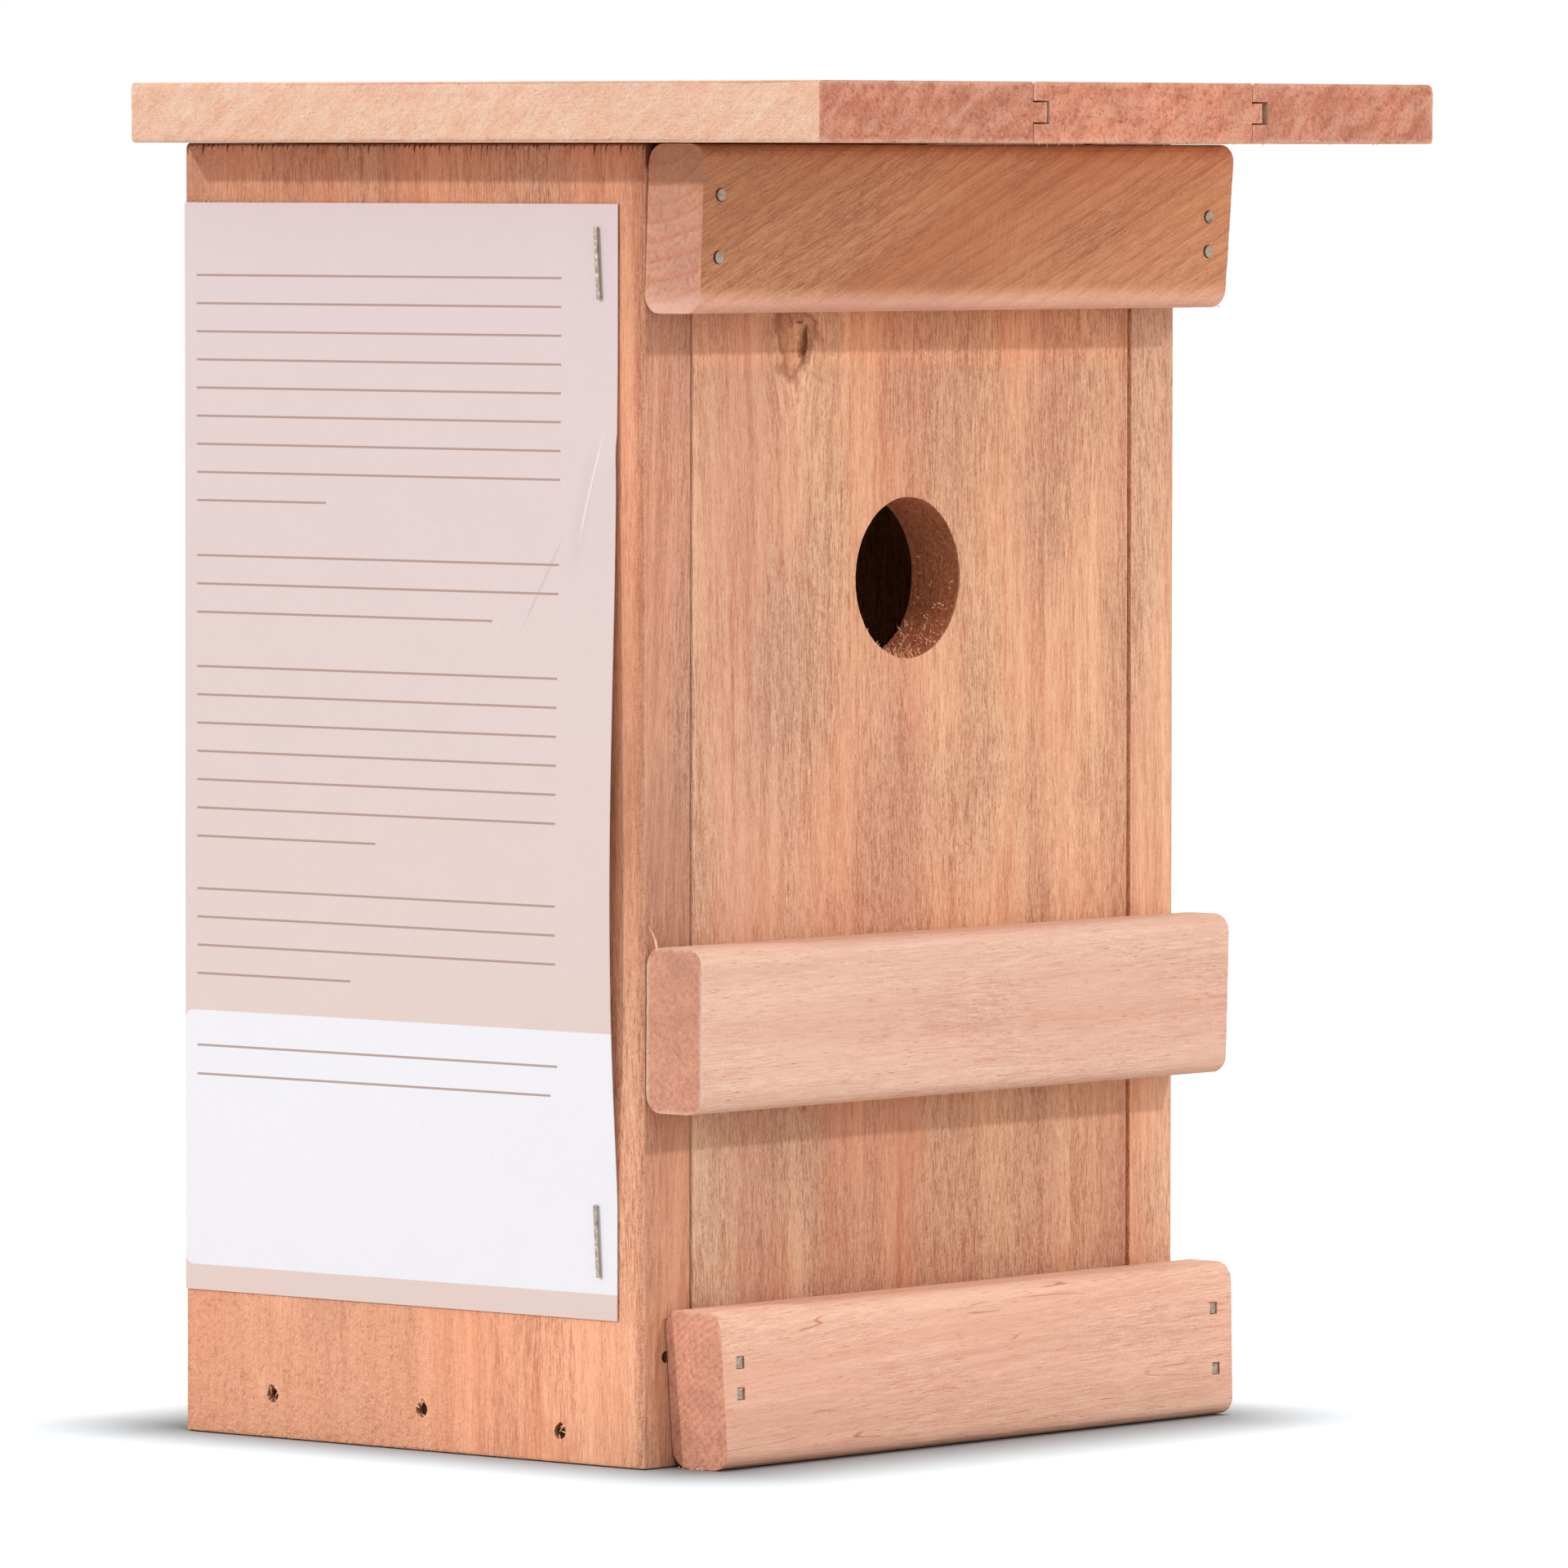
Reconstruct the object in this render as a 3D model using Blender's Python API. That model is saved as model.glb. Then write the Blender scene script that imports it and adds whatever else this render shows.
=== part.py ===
"""Nest box for small birds, made of poplar boards and beech slats.

Two side panels, a back panel and a floor are nailed together under a roof of
three tongue-and-groove boards. The front panel, with the round entrance hole,
stands on the floor between the side panels. A top slat and a bottom slat,
pinned across the side panels' front edges, keep it in. A middle slat is nailed
to it from inside, lies across the same edges and serves as a grip: lifting it
raises the panel until its foot clears the bottom slat, and it comes out.
A paper leaflet is stapled on the left side panel.

Lengths are in metres. +Z is up and the front faces -Y. The origin is the
middle of the outline on the ground.
"""

import math
from collections import namedtuple

import bmesh
import bpy
from mathutils import Matrix, Vector

# Body
body_width = 0.144
body_depth = 0.108
side_height = 0.2277
side_thickness = 0.012
back_thickness = 0.011
floor_thickness = 0.012
board_round = 0.0005

# Front panel and entrance hole
front_thickness = 0.011
front_lift = 0.0164
front_gap_left = 0.0005
front_gap_right = 0.0009
hole_diameter = 0.028
hole_drop = 0.0594
hole_offset = -0.0021

# Roof boards
roof_thickness = 0.0105
roof_overhang_front = 0.051
roof_overhang_left = 0.014
roof_overhang_right = 0.010
roof_left_board = 0.0567
roof_middle_board = 0.060
first_tongue = 0.0037
second_tongue = 0.0028
tongue_thickness = 0.0034
groove_depth = 0.0042
joint_chamfer = 0.0004
roof_round = 0.0009
roof_right_round = 0.0016

# Slats
slat_height = 0.0285
slat_thickness = 0.0125
slat_round = 0.0032
top_slat_drop = 0.0007
middle_slat_base = 0.0616
bottom_slat_height = 0.0275
bottom_slat_inset = 0.006
bottom_slat_overhang = 0.0015
top_slat_leans = (math.radians(2.5), math.radians(5.5))
middle_slat_leans = (math.radians(0.3), math.radians(2.0))
bottom_slat_leans = (math.radians(-4.7), math.radians(-1.4))

# Nails, pins and brads
nail_radius = 0.0008
nail_head_radius = 0.0012
nail_head_height = 0.0008
nail_tip_length = 0.0025
nail_length = 0.030
grip_nail_length = 0.019
roof_nail_length = 0.032
nail_sink = 0.0015
grip_nail_sink = 0.0003
roof_nail_sink = 0.0003
pin_radius = 0.00105
pin_length = 0.026
pin_proud = 0.0003
brad_width = 0.0015
brad_height = 0.0019
brad_length = 0.025
brad_sink = 0.0002
missed_hole_radius = 0.0011
missed_hole_depth = 0.006

# Where the fasteners are, as shares of the piece that each goes into
floor_nail_depth_shares = (0.18, 0.479, 0.807)
floor_nail_height_shares = (0.45, 0.60, 0.63)
back_nail_height_shares = (0.19, 0.50, 0.84)
foot_nail_width_shares = (0.22, 0.78)
roof_side_nail_depth_shares = (0.14, 0.50, 0.84)
roof_back_nail_width_shares = (0.25, 0.75)
grip_nail_width_shares = (0.12, 0.88)
grip_nail_height_shares = (0.30, 0.70)
top_pin_left_shares = ((0.41, 0.712), (0.36, 0.337))
top_pin_right_shares = ((0.51, 0.568), (0.525, 0.351))
bottom_brad_left_shares = ((0.867, 0.676), (0.880, 0.480))
bottom_brad_right_shares = ((0.325, 0.709), (0.258, 0.313))
missed_hole_shares = (0.46, 0.695)

# Hanging hole in the back panel
hanging_hole_diameter = 0.008
hanging_hole_height_share = 0.86

# Leaflet and its staples
leaflet_thickness = 0.0003
leaflet_front_margin = 0.0059
leaflet_back_margin = 0.0003
leaflet_base = 0.0253
leaflet_top_margin = 0.0102
leaflet_bow = 0.0022
leaflet_bow_peak_share = 0.34
staple_crown = 0.0125
staple_leg = 0.006
staple_width = 0.0007
staple_wire = 0.0005
staple_round = 0.00012
staple_lean = math.radians(-3.4)
staple_edge_margin = 0.0042
staple_height_shares = (0.071, 0.947)

# Gaps and cutting
fit_gap = 0.0003
nail_gap = 0.00015
cut_overrun = 0.002
weld_distance = 0.000001

# How finely curves are divided
nail_sides = 12
hole_sides = 64
hanging_hole_sides = 24
board_round_steps = 2
slat_round_steps = 5
roof_round_steps = 3
leaflet_cells = (8, 14)

# Places that follow from the sizes
roof_width = roof_overhang_left + body_width + roof_overhang_right
roof_depth = roof_overhang_front + body_depth
roof_left = -roof_width / 2
roof_right = roof_width / 2
body_left = roof_left + roof_overhang_left
body_right = roof_right - roof_overhang_right
body_middle = (body_left + body_right) / 2
inner_left = body_left + side_thickness
inner_right = body_right - side_thickness
front_plane = -roof_depth / 2 + roof_overhang_front
back_plane = roof_depth / 2
back_panel_front = back_plane - back_thickness
roof_underside = side_height + fit_gap
roof_top = roof_underside + roof_thickness
front_panel_left = inner_left + front_gap_left
front_panel_right = inner_right - front_gap_right
front_panel_back = front_plane + front_thickness
front_base = floor_thickness + fit_gap
front_top = roof_underside - fit_gap - front_lift
hole_height = front_top - hole_drop
slat_back = front_plane - fit_gap
slat_front = slat_back - slat_thickness
top_slat_base = roof_underside - top_slat_drop - slat_height
leaflet_width = body_depth - leaflet_front_margin - leaflet_back_margin
leaflet_height = side_height - leaflet_base - leaflet_top_margin

# Colours
poplar_front = (0.73, 0.38, 0.23)
poplar_side = (0.71, 0.33, 0.17)
poplar_inner = (0.70, 0.40, 0.26)
poplar_roof = (0.78, 0.50, 0.32)
beech_top = (0.66, 0.40, 0.27)
beech_plain = (0.84, 0.53, 0.38)
steel_grey = (0.45, 0.44, 0.42)
paper_rose = (0.76, 0.63, 0.58)

UP = Vector((0, 0, 1))
DOWN = Vector((0, 0, -1))
LEFT = Vector((-1, 0, 0))
RIGHT = Vector((1, 0, 0))
FRONT = Vector((0, -1, 0))
BACK = Vector((0, 1, 0))

# A nail's head lies at head, and the nail points along direction.
Nail = namedtuple("Nail", "name head direction length sink head_radius shank_radius")


def clear_scene():
    """Remove every object that the file holds."""
    for item in list(bpy.data.objects):
        bpy.data.objects.remove(item, do_unlink=True)


def make_material(name, colour, roughness, metallic=0.0):
    """Return a Principled material of one colour."""
    material = bpy.data.materials.new(name)
    material.use_nodes = True
    shader = material.node_tree.nodes["Principled BSDF"]
    shader.inputs["Base Color"].default_value = (*colour, 1.0)
    shader.inputs["Roughness"].default_value = roughness
    shader.inputs["Metallic"].default_value = metallic
    return material


def add_object(name, shape, place, material=None, parent=None):
    """Turn the bmesh into a named object at a place in the world."""
    bmesh.ops.recalc_face_normals(shape, faces=shape.faces)
    mesh = bpy.data.meshes.new(name)
    shape.to_mesh(mesh)
    shape.free()
    item = bpy.data.objects.new(name, mesh)
    bpy.context.scene.collection.objects.link(item)
    if material:
        mesh.materials.append(material)
    if parent:
        item.parent = parent
        place = Vector(place) - parent.location
    item.location = place
    return item


def add_axis(name, place):
    """Add an empty that marks the axis of a joint."""
    empty = bpy.data.objects.new(name, None)
    empty.empty_display_size = hole_diameter
    empty.location = place
    bpy.context.scene.collection.objects.link(empty)
    return empty


def block(low, high):
    """Return a box's bmesh about its own centre, and that centre."""
    low = Vector(low)
    high = Vector(high)
    shape = bmesh.new()
    bmesh.ops.create_cube(shape, size=1.0)
    bmesh.ops.scale(shape, vec=high - low, verts=shape.verts)
    return shape, (low + high) / 2


def add_board(name, low, high, material, parent=None):
    """Add a planed board with its edges slightly rounded."""
    shape, centre = block(low, high)
    board = add_object(name, shape, centre, material, parent)
    bevel = board.modifiers.new("rounded edges", "BEVEL")
    bevel.width = board_round
    bevel.segments = board_round_steps
    bevel.limit_method = "ANGLE"
    return board


def add_cutter(name, shape):
    """Add a tool that only cuts holes in other pieces."""
    cutter = add_object(name, shape, Vector((0, 0, 0)))
    cutter.hide_render = True
    cutter.display_type = "WIRE"
    return cutter


def cut(piece, cutter):
    """Take the cutter's shape out of the piece."""
    boolean = piece.modifiers.new(cutter.name, "BOOLEAN")
    boolean.operation = "DIFFERENCE"
    boolean.solver = "EXACT"
    boolean.object = cutter


def turn_profile(shape, profile, sides, matrix):
    """Spin a profile of (radius, height) points about Z, then place it."""
    known = set(shape.verts)
    points = [shape.verts.new((radius, 0, height)) for radius, height in profile]
    edges = [shape.edges.new(pair) for pair in zip(points, points[1:])]
    bmesh.ops.spin(
        shape,
        geom=points + edges,
        cent=(0, 0, 0),
        axis=UP,
        dvec=(0, 0, 0),
        angle=math.tau,
        steps=sides,
    )
    fresh = [vertex for vertex in shape.verts if vertex not in known]
    bmesh.ops.remove_doubles(shape, verts=fresh, dist=weld_distance)
    fresh = [vertex for vertex in shape.verts if vertex not in known]
    bmesh.ops.transform(shape, matrix=matrix, verts=fresh)


def facing(direction, place):
    """Return the matrix that turns -Z to the direction and moves to the place."""
    turn = DOWN.rotation_difference(direction).to_matrix().to_4x4()
    return Matrix.Translation(place) @ turn


def nail_profile(nail):
    """Return the half outline of a nail: a flat head, a shank and a point."""
    head_height = nail_head_height if nail.head_radius > nail.shank_radius else 0
    outline = [(0, 0), (nail.head_radius, 0)]
    if head_height:
        outline.append((nail.head_radius, -head_height))
        outline.append((nail.shank_radius, -head_height))
    outline.append((nail.shank_radius, nail_tip_length - nail.length))
    outline.append((0, -nail.length))
    return outline


def bore_profile(nail):
    """Return the half outline of the hole that takes a nail and its sunk head."""
    mouth = nail.sink + cut_overrun
    wide = nail.head_radius + nail_gap
    narrow = nail.shank_radius + nail_gap
    outline = [(0, mouth), (wide, mouth)]
    if nail.head_radius > nail.shank_radius:
        shoulder = -nail_head_height - nail_gap
        outline.append((wide, shoulder))
        outline.append((narrow, shoulder))
    outline.append((narrow, -nail.length - nail_gap))
    outline.append((0, -nail.length - nail_gap))
    return outline


def add_nail(nail, material, parent=None):
    """Add one nail, driven along its direction."""
    shape = bmesh.new()
    turn_profile(shape, nail_profile(nail), nail_sides, Matrix.Identity(4))
    item = add_object(nail.name, shape, nail.head, material, parent)
    item.rotation_mode = "QUATERNION"
    item.rotation_quaternion = DOWN.rotation_difference(nail.direction)
    return item


def bore(name, nails, pieces):
    """Drill the holes of the nails through the pieces they join."""
    shape = bmesh.new()
    for nail in nails:
        matrix = facing(nail.direction, nail.head)
        turn_profile(shape, bore_profile(nail), nail_sides, matrix)
    cutter = add_cutter(name, shape)
    for piece in pieces:
        cut(piece, cutter)


def plain_nail(name, surface, direction, length=nail_length, sink=nail_sink):
    """Return a headed nail sunk below the surface that it is driven through."""
    head = Vector(surface) + direction * sink
    return Nail(name, head, direction, length, sink, nail_head_radius, nail_radius)


def pin(name, surface, direction):
    """Return a headless pin that stands a little proud of the surface."""
    head = Vector(surface) - direction * pin_proud
    return Nail(name, head, direction, pin_length, 0, pin_radius, pin_radius)


def rounded_corner(corner, inward_x, inward_z, radius):
    """Return points that round one corner of an outline, from its X side to its Z side."""
    centre_x = corner[0] + inward_x * radius
    centre_z = corner[1] + inward_z * radius
    points = []
    for step in range(roof_round_steps + 1):
        angle = math.pi / 2 * step / roof_round_steps
        points.append((
            centre_x - inward_x * radius * math.cos(angle),
            centre_z - inward_z * radius * math.sin(angle),
        ))
    return points


def chamfered_corner(corner, inward_x, inward_z):
    """Return the two points that chamfer a corner at a joint between boards."""
    x, z = corner
    return [(x, z + inward_z * joint_chamfer), (x + inward_x * joint_chamfer, z)]


def left_edge(x, has_groove):
    """Return a roof board's left edge, from its underside to its top."""
    low = (x, roof_underside)
    high = (x, roof_top)
    if not has_groove:
        lower = rounded_corner(low, 1, 1, roof_round)
        return lower[::-1] + rounded_corner(high, 1, -1, roof_round)
    middle = (roof_underside + roof_top) / 2
    half_groove = tongue_thickness / 2 + fit_gap
    groove = [
        (x, middle - half_groove),
        (x + groove_depth, middle - half_groove),
        (x + groove_depth, middle + half_groove),
        (x, middle + half_groove),
    ]
    return chamfered_corner(low, 1, 1)[::-1] + groove + chamfered_corner(high, 1, -1)


def right_edge(x, tongue_length):
    """Return a roof board's right edge, from its top to its underside: plain, or with a tongue."""
    low = (x, roof_underside)
    high = (x, roof_top)
    if not tongue_length:
        upper = rounded_corner(high, -1, -1, roof_right_round)
        return upper[::-1] + rounded_corner(low, -1, 1, roof_round)
    middle = (roof_underside + roof_top) / 2
    half_tongue = tongue_thickness / 2
    tongue = [
        (x, middle + half_tongue),
        (x + tongue_length, middle + half_tongue),
        (x + tongue_length, middle - half_tongue),
        (x, middle - half_tongue),
    ]
    return chamfered_corner(high, -1, -1)[::-1] + tongue + chamfered_corner(low, -1, 1)


def add_roof_board(name, left, right, has_groove, tongue_length, material):
    """Add one roof board: its cross-section drawn out from front to back."""
    centre = Vector(((left + right) / 2, 0, (roof_underside + roof_top) / 2))
    shape = bmesh.new()
    outline = left_edge(left, has_groove) + right_edge(right, tongue_length)
    points = [shape.verts.new((x - centre.x, -roof_depth / 2, z - centre.z)) for x, z in outline]
    face = shape.faces.new(points)
    drawn = bmesh.ops.extrude_face_region(shape, geom=[face])
    moved = [item for item in drawn["geom"] if isinstance(item, bmesh.types.BMVert)]
    bmesh.ops.translate(shape, vec=BACK * roof_depth, verts=moved)
    return add_object(name, shape, centre, material)


def add_slat(name, low, high, leans, material, parent=None):
    """Add a slat with its four long edges rounded and its ends sawn at a slant."""
    shape, centre = block(low, high)
    long_edges = [
        edge for edge in shape.edges
        if abs((edge.verts[0].co - edge.verts[1].co).normalized().x) > math.cos(math.pi / 4)
    ]
    bmesh.ops.bevel(
        shape,
        geom=long_edges,
        offset=slat_round,
        segments=slat_round_steps,
        profile=0.5,
        affect="EDGES",
    )
    for vertex in shape.verts:
        lean = leans[0] if vertex.co.x < 0 else leans[1]
        vertex.co.x += vertex.co.z * math.tan(lean)
    return add_object(name, shape, centre, material, parent)


def side_edge_point(left_side, across_share, height, y):
    """Return a point on a side panel's front edge, from its outer face inwards."""
    inward = side_thickness * across_share
    x = body_left + inward if left_side else body_right - inward
    return Vector((x, y, height))


def add_brad(name, head, material):
    """Add a brad: a flat strip of steel with square corners, driven towards the back."""
    half = Vector((brad_width / 2, 0, brad_height / 2))
    shape, centre = block(head - half, head + half + BACK * brad_length)
    return add_object(name, shape, centre, material)


def bore_brads(name, heads, pieces):
    """Cut the slots that the brads fill."""
    shape = bmesh.new()
    half = Vector((brad_width / 2 + nail_gap, 0, brad_height / 2 + nail_gap))
    for head in heads:
        low = head - half + FRONT * (brad_sink + cut_overrun)
        high = head + half + BACK * (brad_length + nail_gap)
        box = bmesh.ops.create_cube(shape, size=1.0)["verts"]
        bmesh.ops.scale(shape, vec=high - low, verts=box)
        bmesh.ops.translate(shape, vec=(low + high) / 2, verts=box)
    cutter = add_cutter(name, shape)
    for piece in pieces:
        cut(piece, cutter)


def bow_at(depth_share, height_share):
    """Return how far the leaflet stands off the panel, between the two staples."""
    half_crown_share = staple_crown / leaflet_height / 2
    low = staple_height_shares[0] + half_crown_share
    high = staple_height_shares[1] - half_crown_share
    between = (height_share - low) / (high - low)
    if between <= 0 or between >= 1:
        return 0
    skew = math.log(0.5) / math.log(leaflet_bow_peak_share)
    rise = math.sin(math.pi * between**skew) ** 2
    return leaflet_bow * rise * (1 - depth_share) ** 2


def add_leaflet(material):
    """Add the leaflet, which bows off the panel along its stapled edge."""
    shape = bmesh.new()
    bmesh.ops.create_grid(
        shape,
        x_segments=leaflet_cells[0],
        y_segments=leaflet_cells[1],
        size=0.5,
    )
    for vertex in shape.verts:
        depth_share = vertex.co.x + 0.5
        height_share = vertex.co.y + 0.5
        vertex.co = (
            -bow_at(depth_share, height_share),
            leaflet_width * depth_share,
            leaflet_height * (height_share - 1),
        )
    corner = (
        body_left - fit_gap,
        front_plane + leaflet_front_margin,
        leaflet_base + leaflet_height,
    )
    leaflet = add_object("leaflet", shape, corner, material)
    solidify = leaflet.modifiers.new("paper", "SOLIDIFY")
    solidify.thickness = leaflet_thickness
    outward = leaflet.data.polygons[0].normal.x < 0
    solidify.offset = 1 if outward else -1
    return leaflet


def staple_place(height_share):
    """Return the middle of a staple's crown."""
    return Vector((
        body_left - fit_gap - leaflet_thickness - nail_gap - staple_wire,
        front_plane + leaflet_front_margin + staple_edge_margin,
        leaflet_base + leaflet_height * height_share,
    ))


def add_staple(name, place, material):
    """Add a staple: a crown on the paper and two legs in the wood."""
    half = staple_crown / 2
    outline = [
        (0, -half),
        (staple_leg, -half),
        (staple_leg, staple_wire - half),
        (staple_wire, staple_wire - half),
        (staple_wire, half - staple_wire),
        (staple_leg, half - staple_wire),
        (staple_leg, half),
        (0, half),
    ]
    shape = bmesh.new()
    points = [shape.verts.new((x, -staple_width / 2, z)) for x, z in outline]
    face = shape.faces.new(points)
    drawn = bmesh.ops.extrude_face_region(shape, geom=[face])
    moved = [item for item in drawn["geom"] if isinstance(item, bmesh.types.BMVert)]
    bmesh.ops.translate(shape, vec=BACK * staple_width, verts=moved)
    staple = add_object(name, shape, place, material)
    staple.rotation_euler.x = staple_lean
    bevel = staple.modifiers.new("rounded wire", "BEVEL")
    bevel.width = staple_round
    bevel.segments = board_round_steps
    bevel.limit_method = "ANGLE"
    return staple


def bore_staples(places, pieces):
    """Pierce the leaflet and the wood for the staples' legs."""
    shape = bmesh.new()
    length = staple_leg + nail_gap + cut_overrun
    size = Vector((length, staple_width + 2 * nail_gap, staple_wire + 2 * nail_gap))
    middle = Vector((length / 2 - cut_overrun, 0, 0))
    reach = (staple_crown - staple_wire) / 2
    for place in places:
        matrix = Matrix.Translation(place) @ Matrix.Rotation(staple_lean, 4, "X")
        for end in (-reach, reach):
            leg = bmesh.ops.create_cube(shape, size=1.0)["verts"]
            bmesh.ops.scale(shape, vec=size, verts=leg)
            bmesh.ops.translate(shape, vec=middle + UP * end, verts=leg)
            bmesh.ops.transform(shape, matrix=matrix, verts=leg)
    cutter = add_cutter("staple_legs_cutter", shape)
    for piece in pieces:
        cut(piece, cutter)


def round_cutter(name, place, direction, radius, depth, sides):
    """Return a cutter that drills a plain round hole from just before the place."""
    shape = bmesh.new()
    profile = [(0, cut_overrun), (radius, cut_overrun), (radius, -depth), (0, -depth)]
    turn_profile(shape, profile, sides, facing(direction, place))
    return add_cutter(name, shape)


def build_body():
    """Make the side panels, the back panel and the floor."""
    left = add_board(
        "left_side_panel",
        (body_left, front_plane, 0),
        (inner_left, back_plane, side_height),
        make_material("left_side_poplar", poplar_side, 0.7),
    )
    right = add_board(
        "right_side_panel",
        (inner_right, front_plane, 0),
        (body_right, back_plane, side_height),
        make_material("right_side_poplar", poplar_side, 0.7),
    )
    back = add_board(
        "back_panel",
        (inner_left + fit_gap, back_panel_front, 0),
        (inner_right - fit_gap, back_plane, side_height),
        make_material("back_poplar", poplar_inner, 0.75),
    )
    floor = add_board(
        "floor_panel",
        (inner_left + fit_gap, front_plane, 0),
        (inner_right - fit_gap, back_panel_front - fit_gap, floor_thickness),
        make_material("floor_poplar", poplar_inner, 0.75),
    )
    hanging_point = (body_middle, back_plane, side_height * hanging_hole_height_share)
    hanging_hole = round_cutter(
        "hanging_hole_cutter",
        hanging_point,
        FRONT,
        hanging_hole_diameter / 2,
        back_thickness + cut_overrun,
        hanging_hole_sides,
    )
    cut(back, hanging_hole)
    return left, right, back, floor


def build_roof():
    """Make the three roof boards, each with a tongue in the next one's groove."""
    first_joint = roof_left + roof_left_board
    second_joint = first_joint + roof_middle_board
    half_gap = fit_gap / 2
    return (
        add_roof_board(
            "roof_board_left", roof_left, first_joint - half_gap, False, first_tongue,
            make_material("roof_left_poplar", poplar_roof, 0.75),
        ),
        add_roof_board(
            "roof_board_middle", first_joint + half_gap, second_joint - half_gap, True, second_tongue,
            make_material("roof_middle_poplar", poplar_roof, 0.75),
        ),
        add_roof_board(
            "roof_board_right", second_joint + half_gap, roof_right, True, 0,
            make_material("roof_right_poplar", poplar_roof, 0.75),
        ),
    )


def build_front():
    """Make the front panel and its grip slat, which slide up together."""
    axis = add_axis("front_lift_axis", (body_middle, front_plane, front_base))
    panel = add_board(
        "front_panel",
        (front_panel_left, front_plane, front_base),
        (front_panel_right, front_panel_back, front_top),
        make_material("front_poplar", poplar_front, 0.7),
        axis,
    )
    entrance = round_cutter(
        "entrance_hole_cutter",
        (body_middle + hole_offset, front_plane, hole_height),
        BACK,
        hole_diameter / 2,
        front_thickness + cut_overrun,
        hole_sides,
    )
    cut(panel, entrance)
    grip = add_slat(
        "middle_slat",
        (body_left, slat_front, middle_slat_base),
        (body_right, slat_back, middle_slat_base + slat_height),
        middle_slat_leans,
        make_material("middle_slat_beech", beech_plain, 0.6),
        axis,
    )
    panel_width = front_panel_right - front_panel_left
    steel = make_material("grip_nail_steel", steel_grey, 0.4, 1.0)
    nails = []
    for width_share in grip_nail_width_shares:
        for height_share in grip_nail_height_shares:
            surface = (
                front_panel_left + panel_width * width_share,
                front_panel_back,
                middle_slat_base + slat_height * height_share,
            )
            name = f"middle_slat_nail_{len(nails) + 1}"
            nails.append(plain_nail(name, surface, FRONT, grip_nail_length, grip_nail_sink))
    for nail in nails:
        add_nail(nail, steel, axis)
    bore("middle_slat_nail_cutter", nails, (panel, grip))


def build_fixed_slats(left, right):
    """Make the top and bottom slats and drive their pins and brads."""
    top = add_slat(
        "top_slat",
        (body_left, slat_front, top_slat_base),
        (body_right, slat_back, top_slat_base + slat_height),
        top_slat_leans,
        make_material("top_slat_beech", beech_top, 0.6),
    )
    bottom = add_slat(
        "bottom_slat",
        (body_left + bottom_slat_inset, slat_front, 0),
        (body_right + bottom_slat_overhang, slat_back, bottom_slat_height),
        bottom_slat_leans,
        make_material("bottom_slat_beech", beech_plain, 0.6),
    )
    steel = make_material("pin_steel", steel_grey, 0.4, 1.0)
    for left_side, panel, shares in (
        (True, left, top_pin_left_shares),
        (False, right, top_pin_right_shares),
    ):
        side = "left" if left_side else "right"
        pins = []
        for across_share, height_share in shares:
            height = top_slat_base + slat_height * height_share
            surface = side_edge_point(left_side, across_share, height, slat_front)
            pins.append(pin(f"top_slat_{side}_pin_{len(pins) + 1}", surface, BACK))
        for item in pins:
            add_nail(item, steel)
        bore(f"top_slat_{side}_pin_cutter", pins, (top, panel))
    for left_side, panel, shares in (
        (True, left, bottom_brad_left_shares),
        (False, right, bottom_brad_right_shares),
    ):
        side = "left" if left_side else "right"
        heads = []
        for across_share, height_share in shares:
            height = bottom_slat_height * height_share
            surface = side_edge_point(left_side, across_share, height, slat_front)
            heads.append(surface + BACK * brad_sink)
        for number, head in enumerate(heads, 1):
            add_brad(f"bottom_slat_{side}_brad_{number}", head, steel)
        bore_brads(f"bottom_slat_{side}_brad_cutter", heads, (bottom, panel))


def drill_missed_hole(panel):
    """Drill the hole that a missed nail left in the left panel's front edge."""
    across_share, height_share = missed_hole_shares
    height = bottom_slat_height * height_share
    place = side_edge_point(True, across_share, height, front_plane)
    cutter = round_cutter(
        "missed_hole_cutter",
        place,
        BACK,
        missed_hole_radius,
        missed_hole_depth,
        nail_sides,
    )
    cut(panel, cutter)


def nail_body(left, right, back, floor):
    """Nail the side panels to the floor and the back, and the back to the floor."""
    steel = make_material("body_nail_steel", steel_grey, 0.5, 1.0)
    inner_width = inner_right - inner_left
    for side, panel, x, direction in (
        ("left", left, body_left, RIGHT),
        ("right", right, body_right, LEFT),
    ):
        floor_nails = []
        for depth_share, height_share in zip(floor_nail_depth_shares, floor_nail_height_shares):
            surface = (x, front_plane + body_depth * depth_share, floor_thickness * height_share)
            name = f"{side}_floor_nail_{len(floor_nails) + 1}"
            floor_nails.append(plain_nail(name, surface, direction))
        back_nails = []
        for height_share in back_nail_height_shares:
            surface = (x, back_plane - back_thickness / 2, side_height * height_share)
            name = f"{side}_back_nail_{len(back_nails) + 1}"
            back_nails.append(plain_nail(name, surface, direction))
        for nail in floor_nails + back_nails:
            add_nail(nail, steel)
        bore(f"{side}_floor_nail_cutter", floor_nails, (panel, floor))
        bore(f"{side}_back_nail_cutter", back_nails, (panel, back))
    foot_nails = []
    for width_share in foot_nail_width_shares:
        surface = (inner_left + inner_width * width_share, back_plane, floor_thickness / 2)
        foot_nails.append(plain_nail(f"back_floor_nail_{len(foot_nails) + 1}", surface, FRONT))
    for nail in foot_nails:
        add_nail(nail, steel)
    bore("back_floor_nail_cutter", foot_nails, (back, floor))


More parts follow.
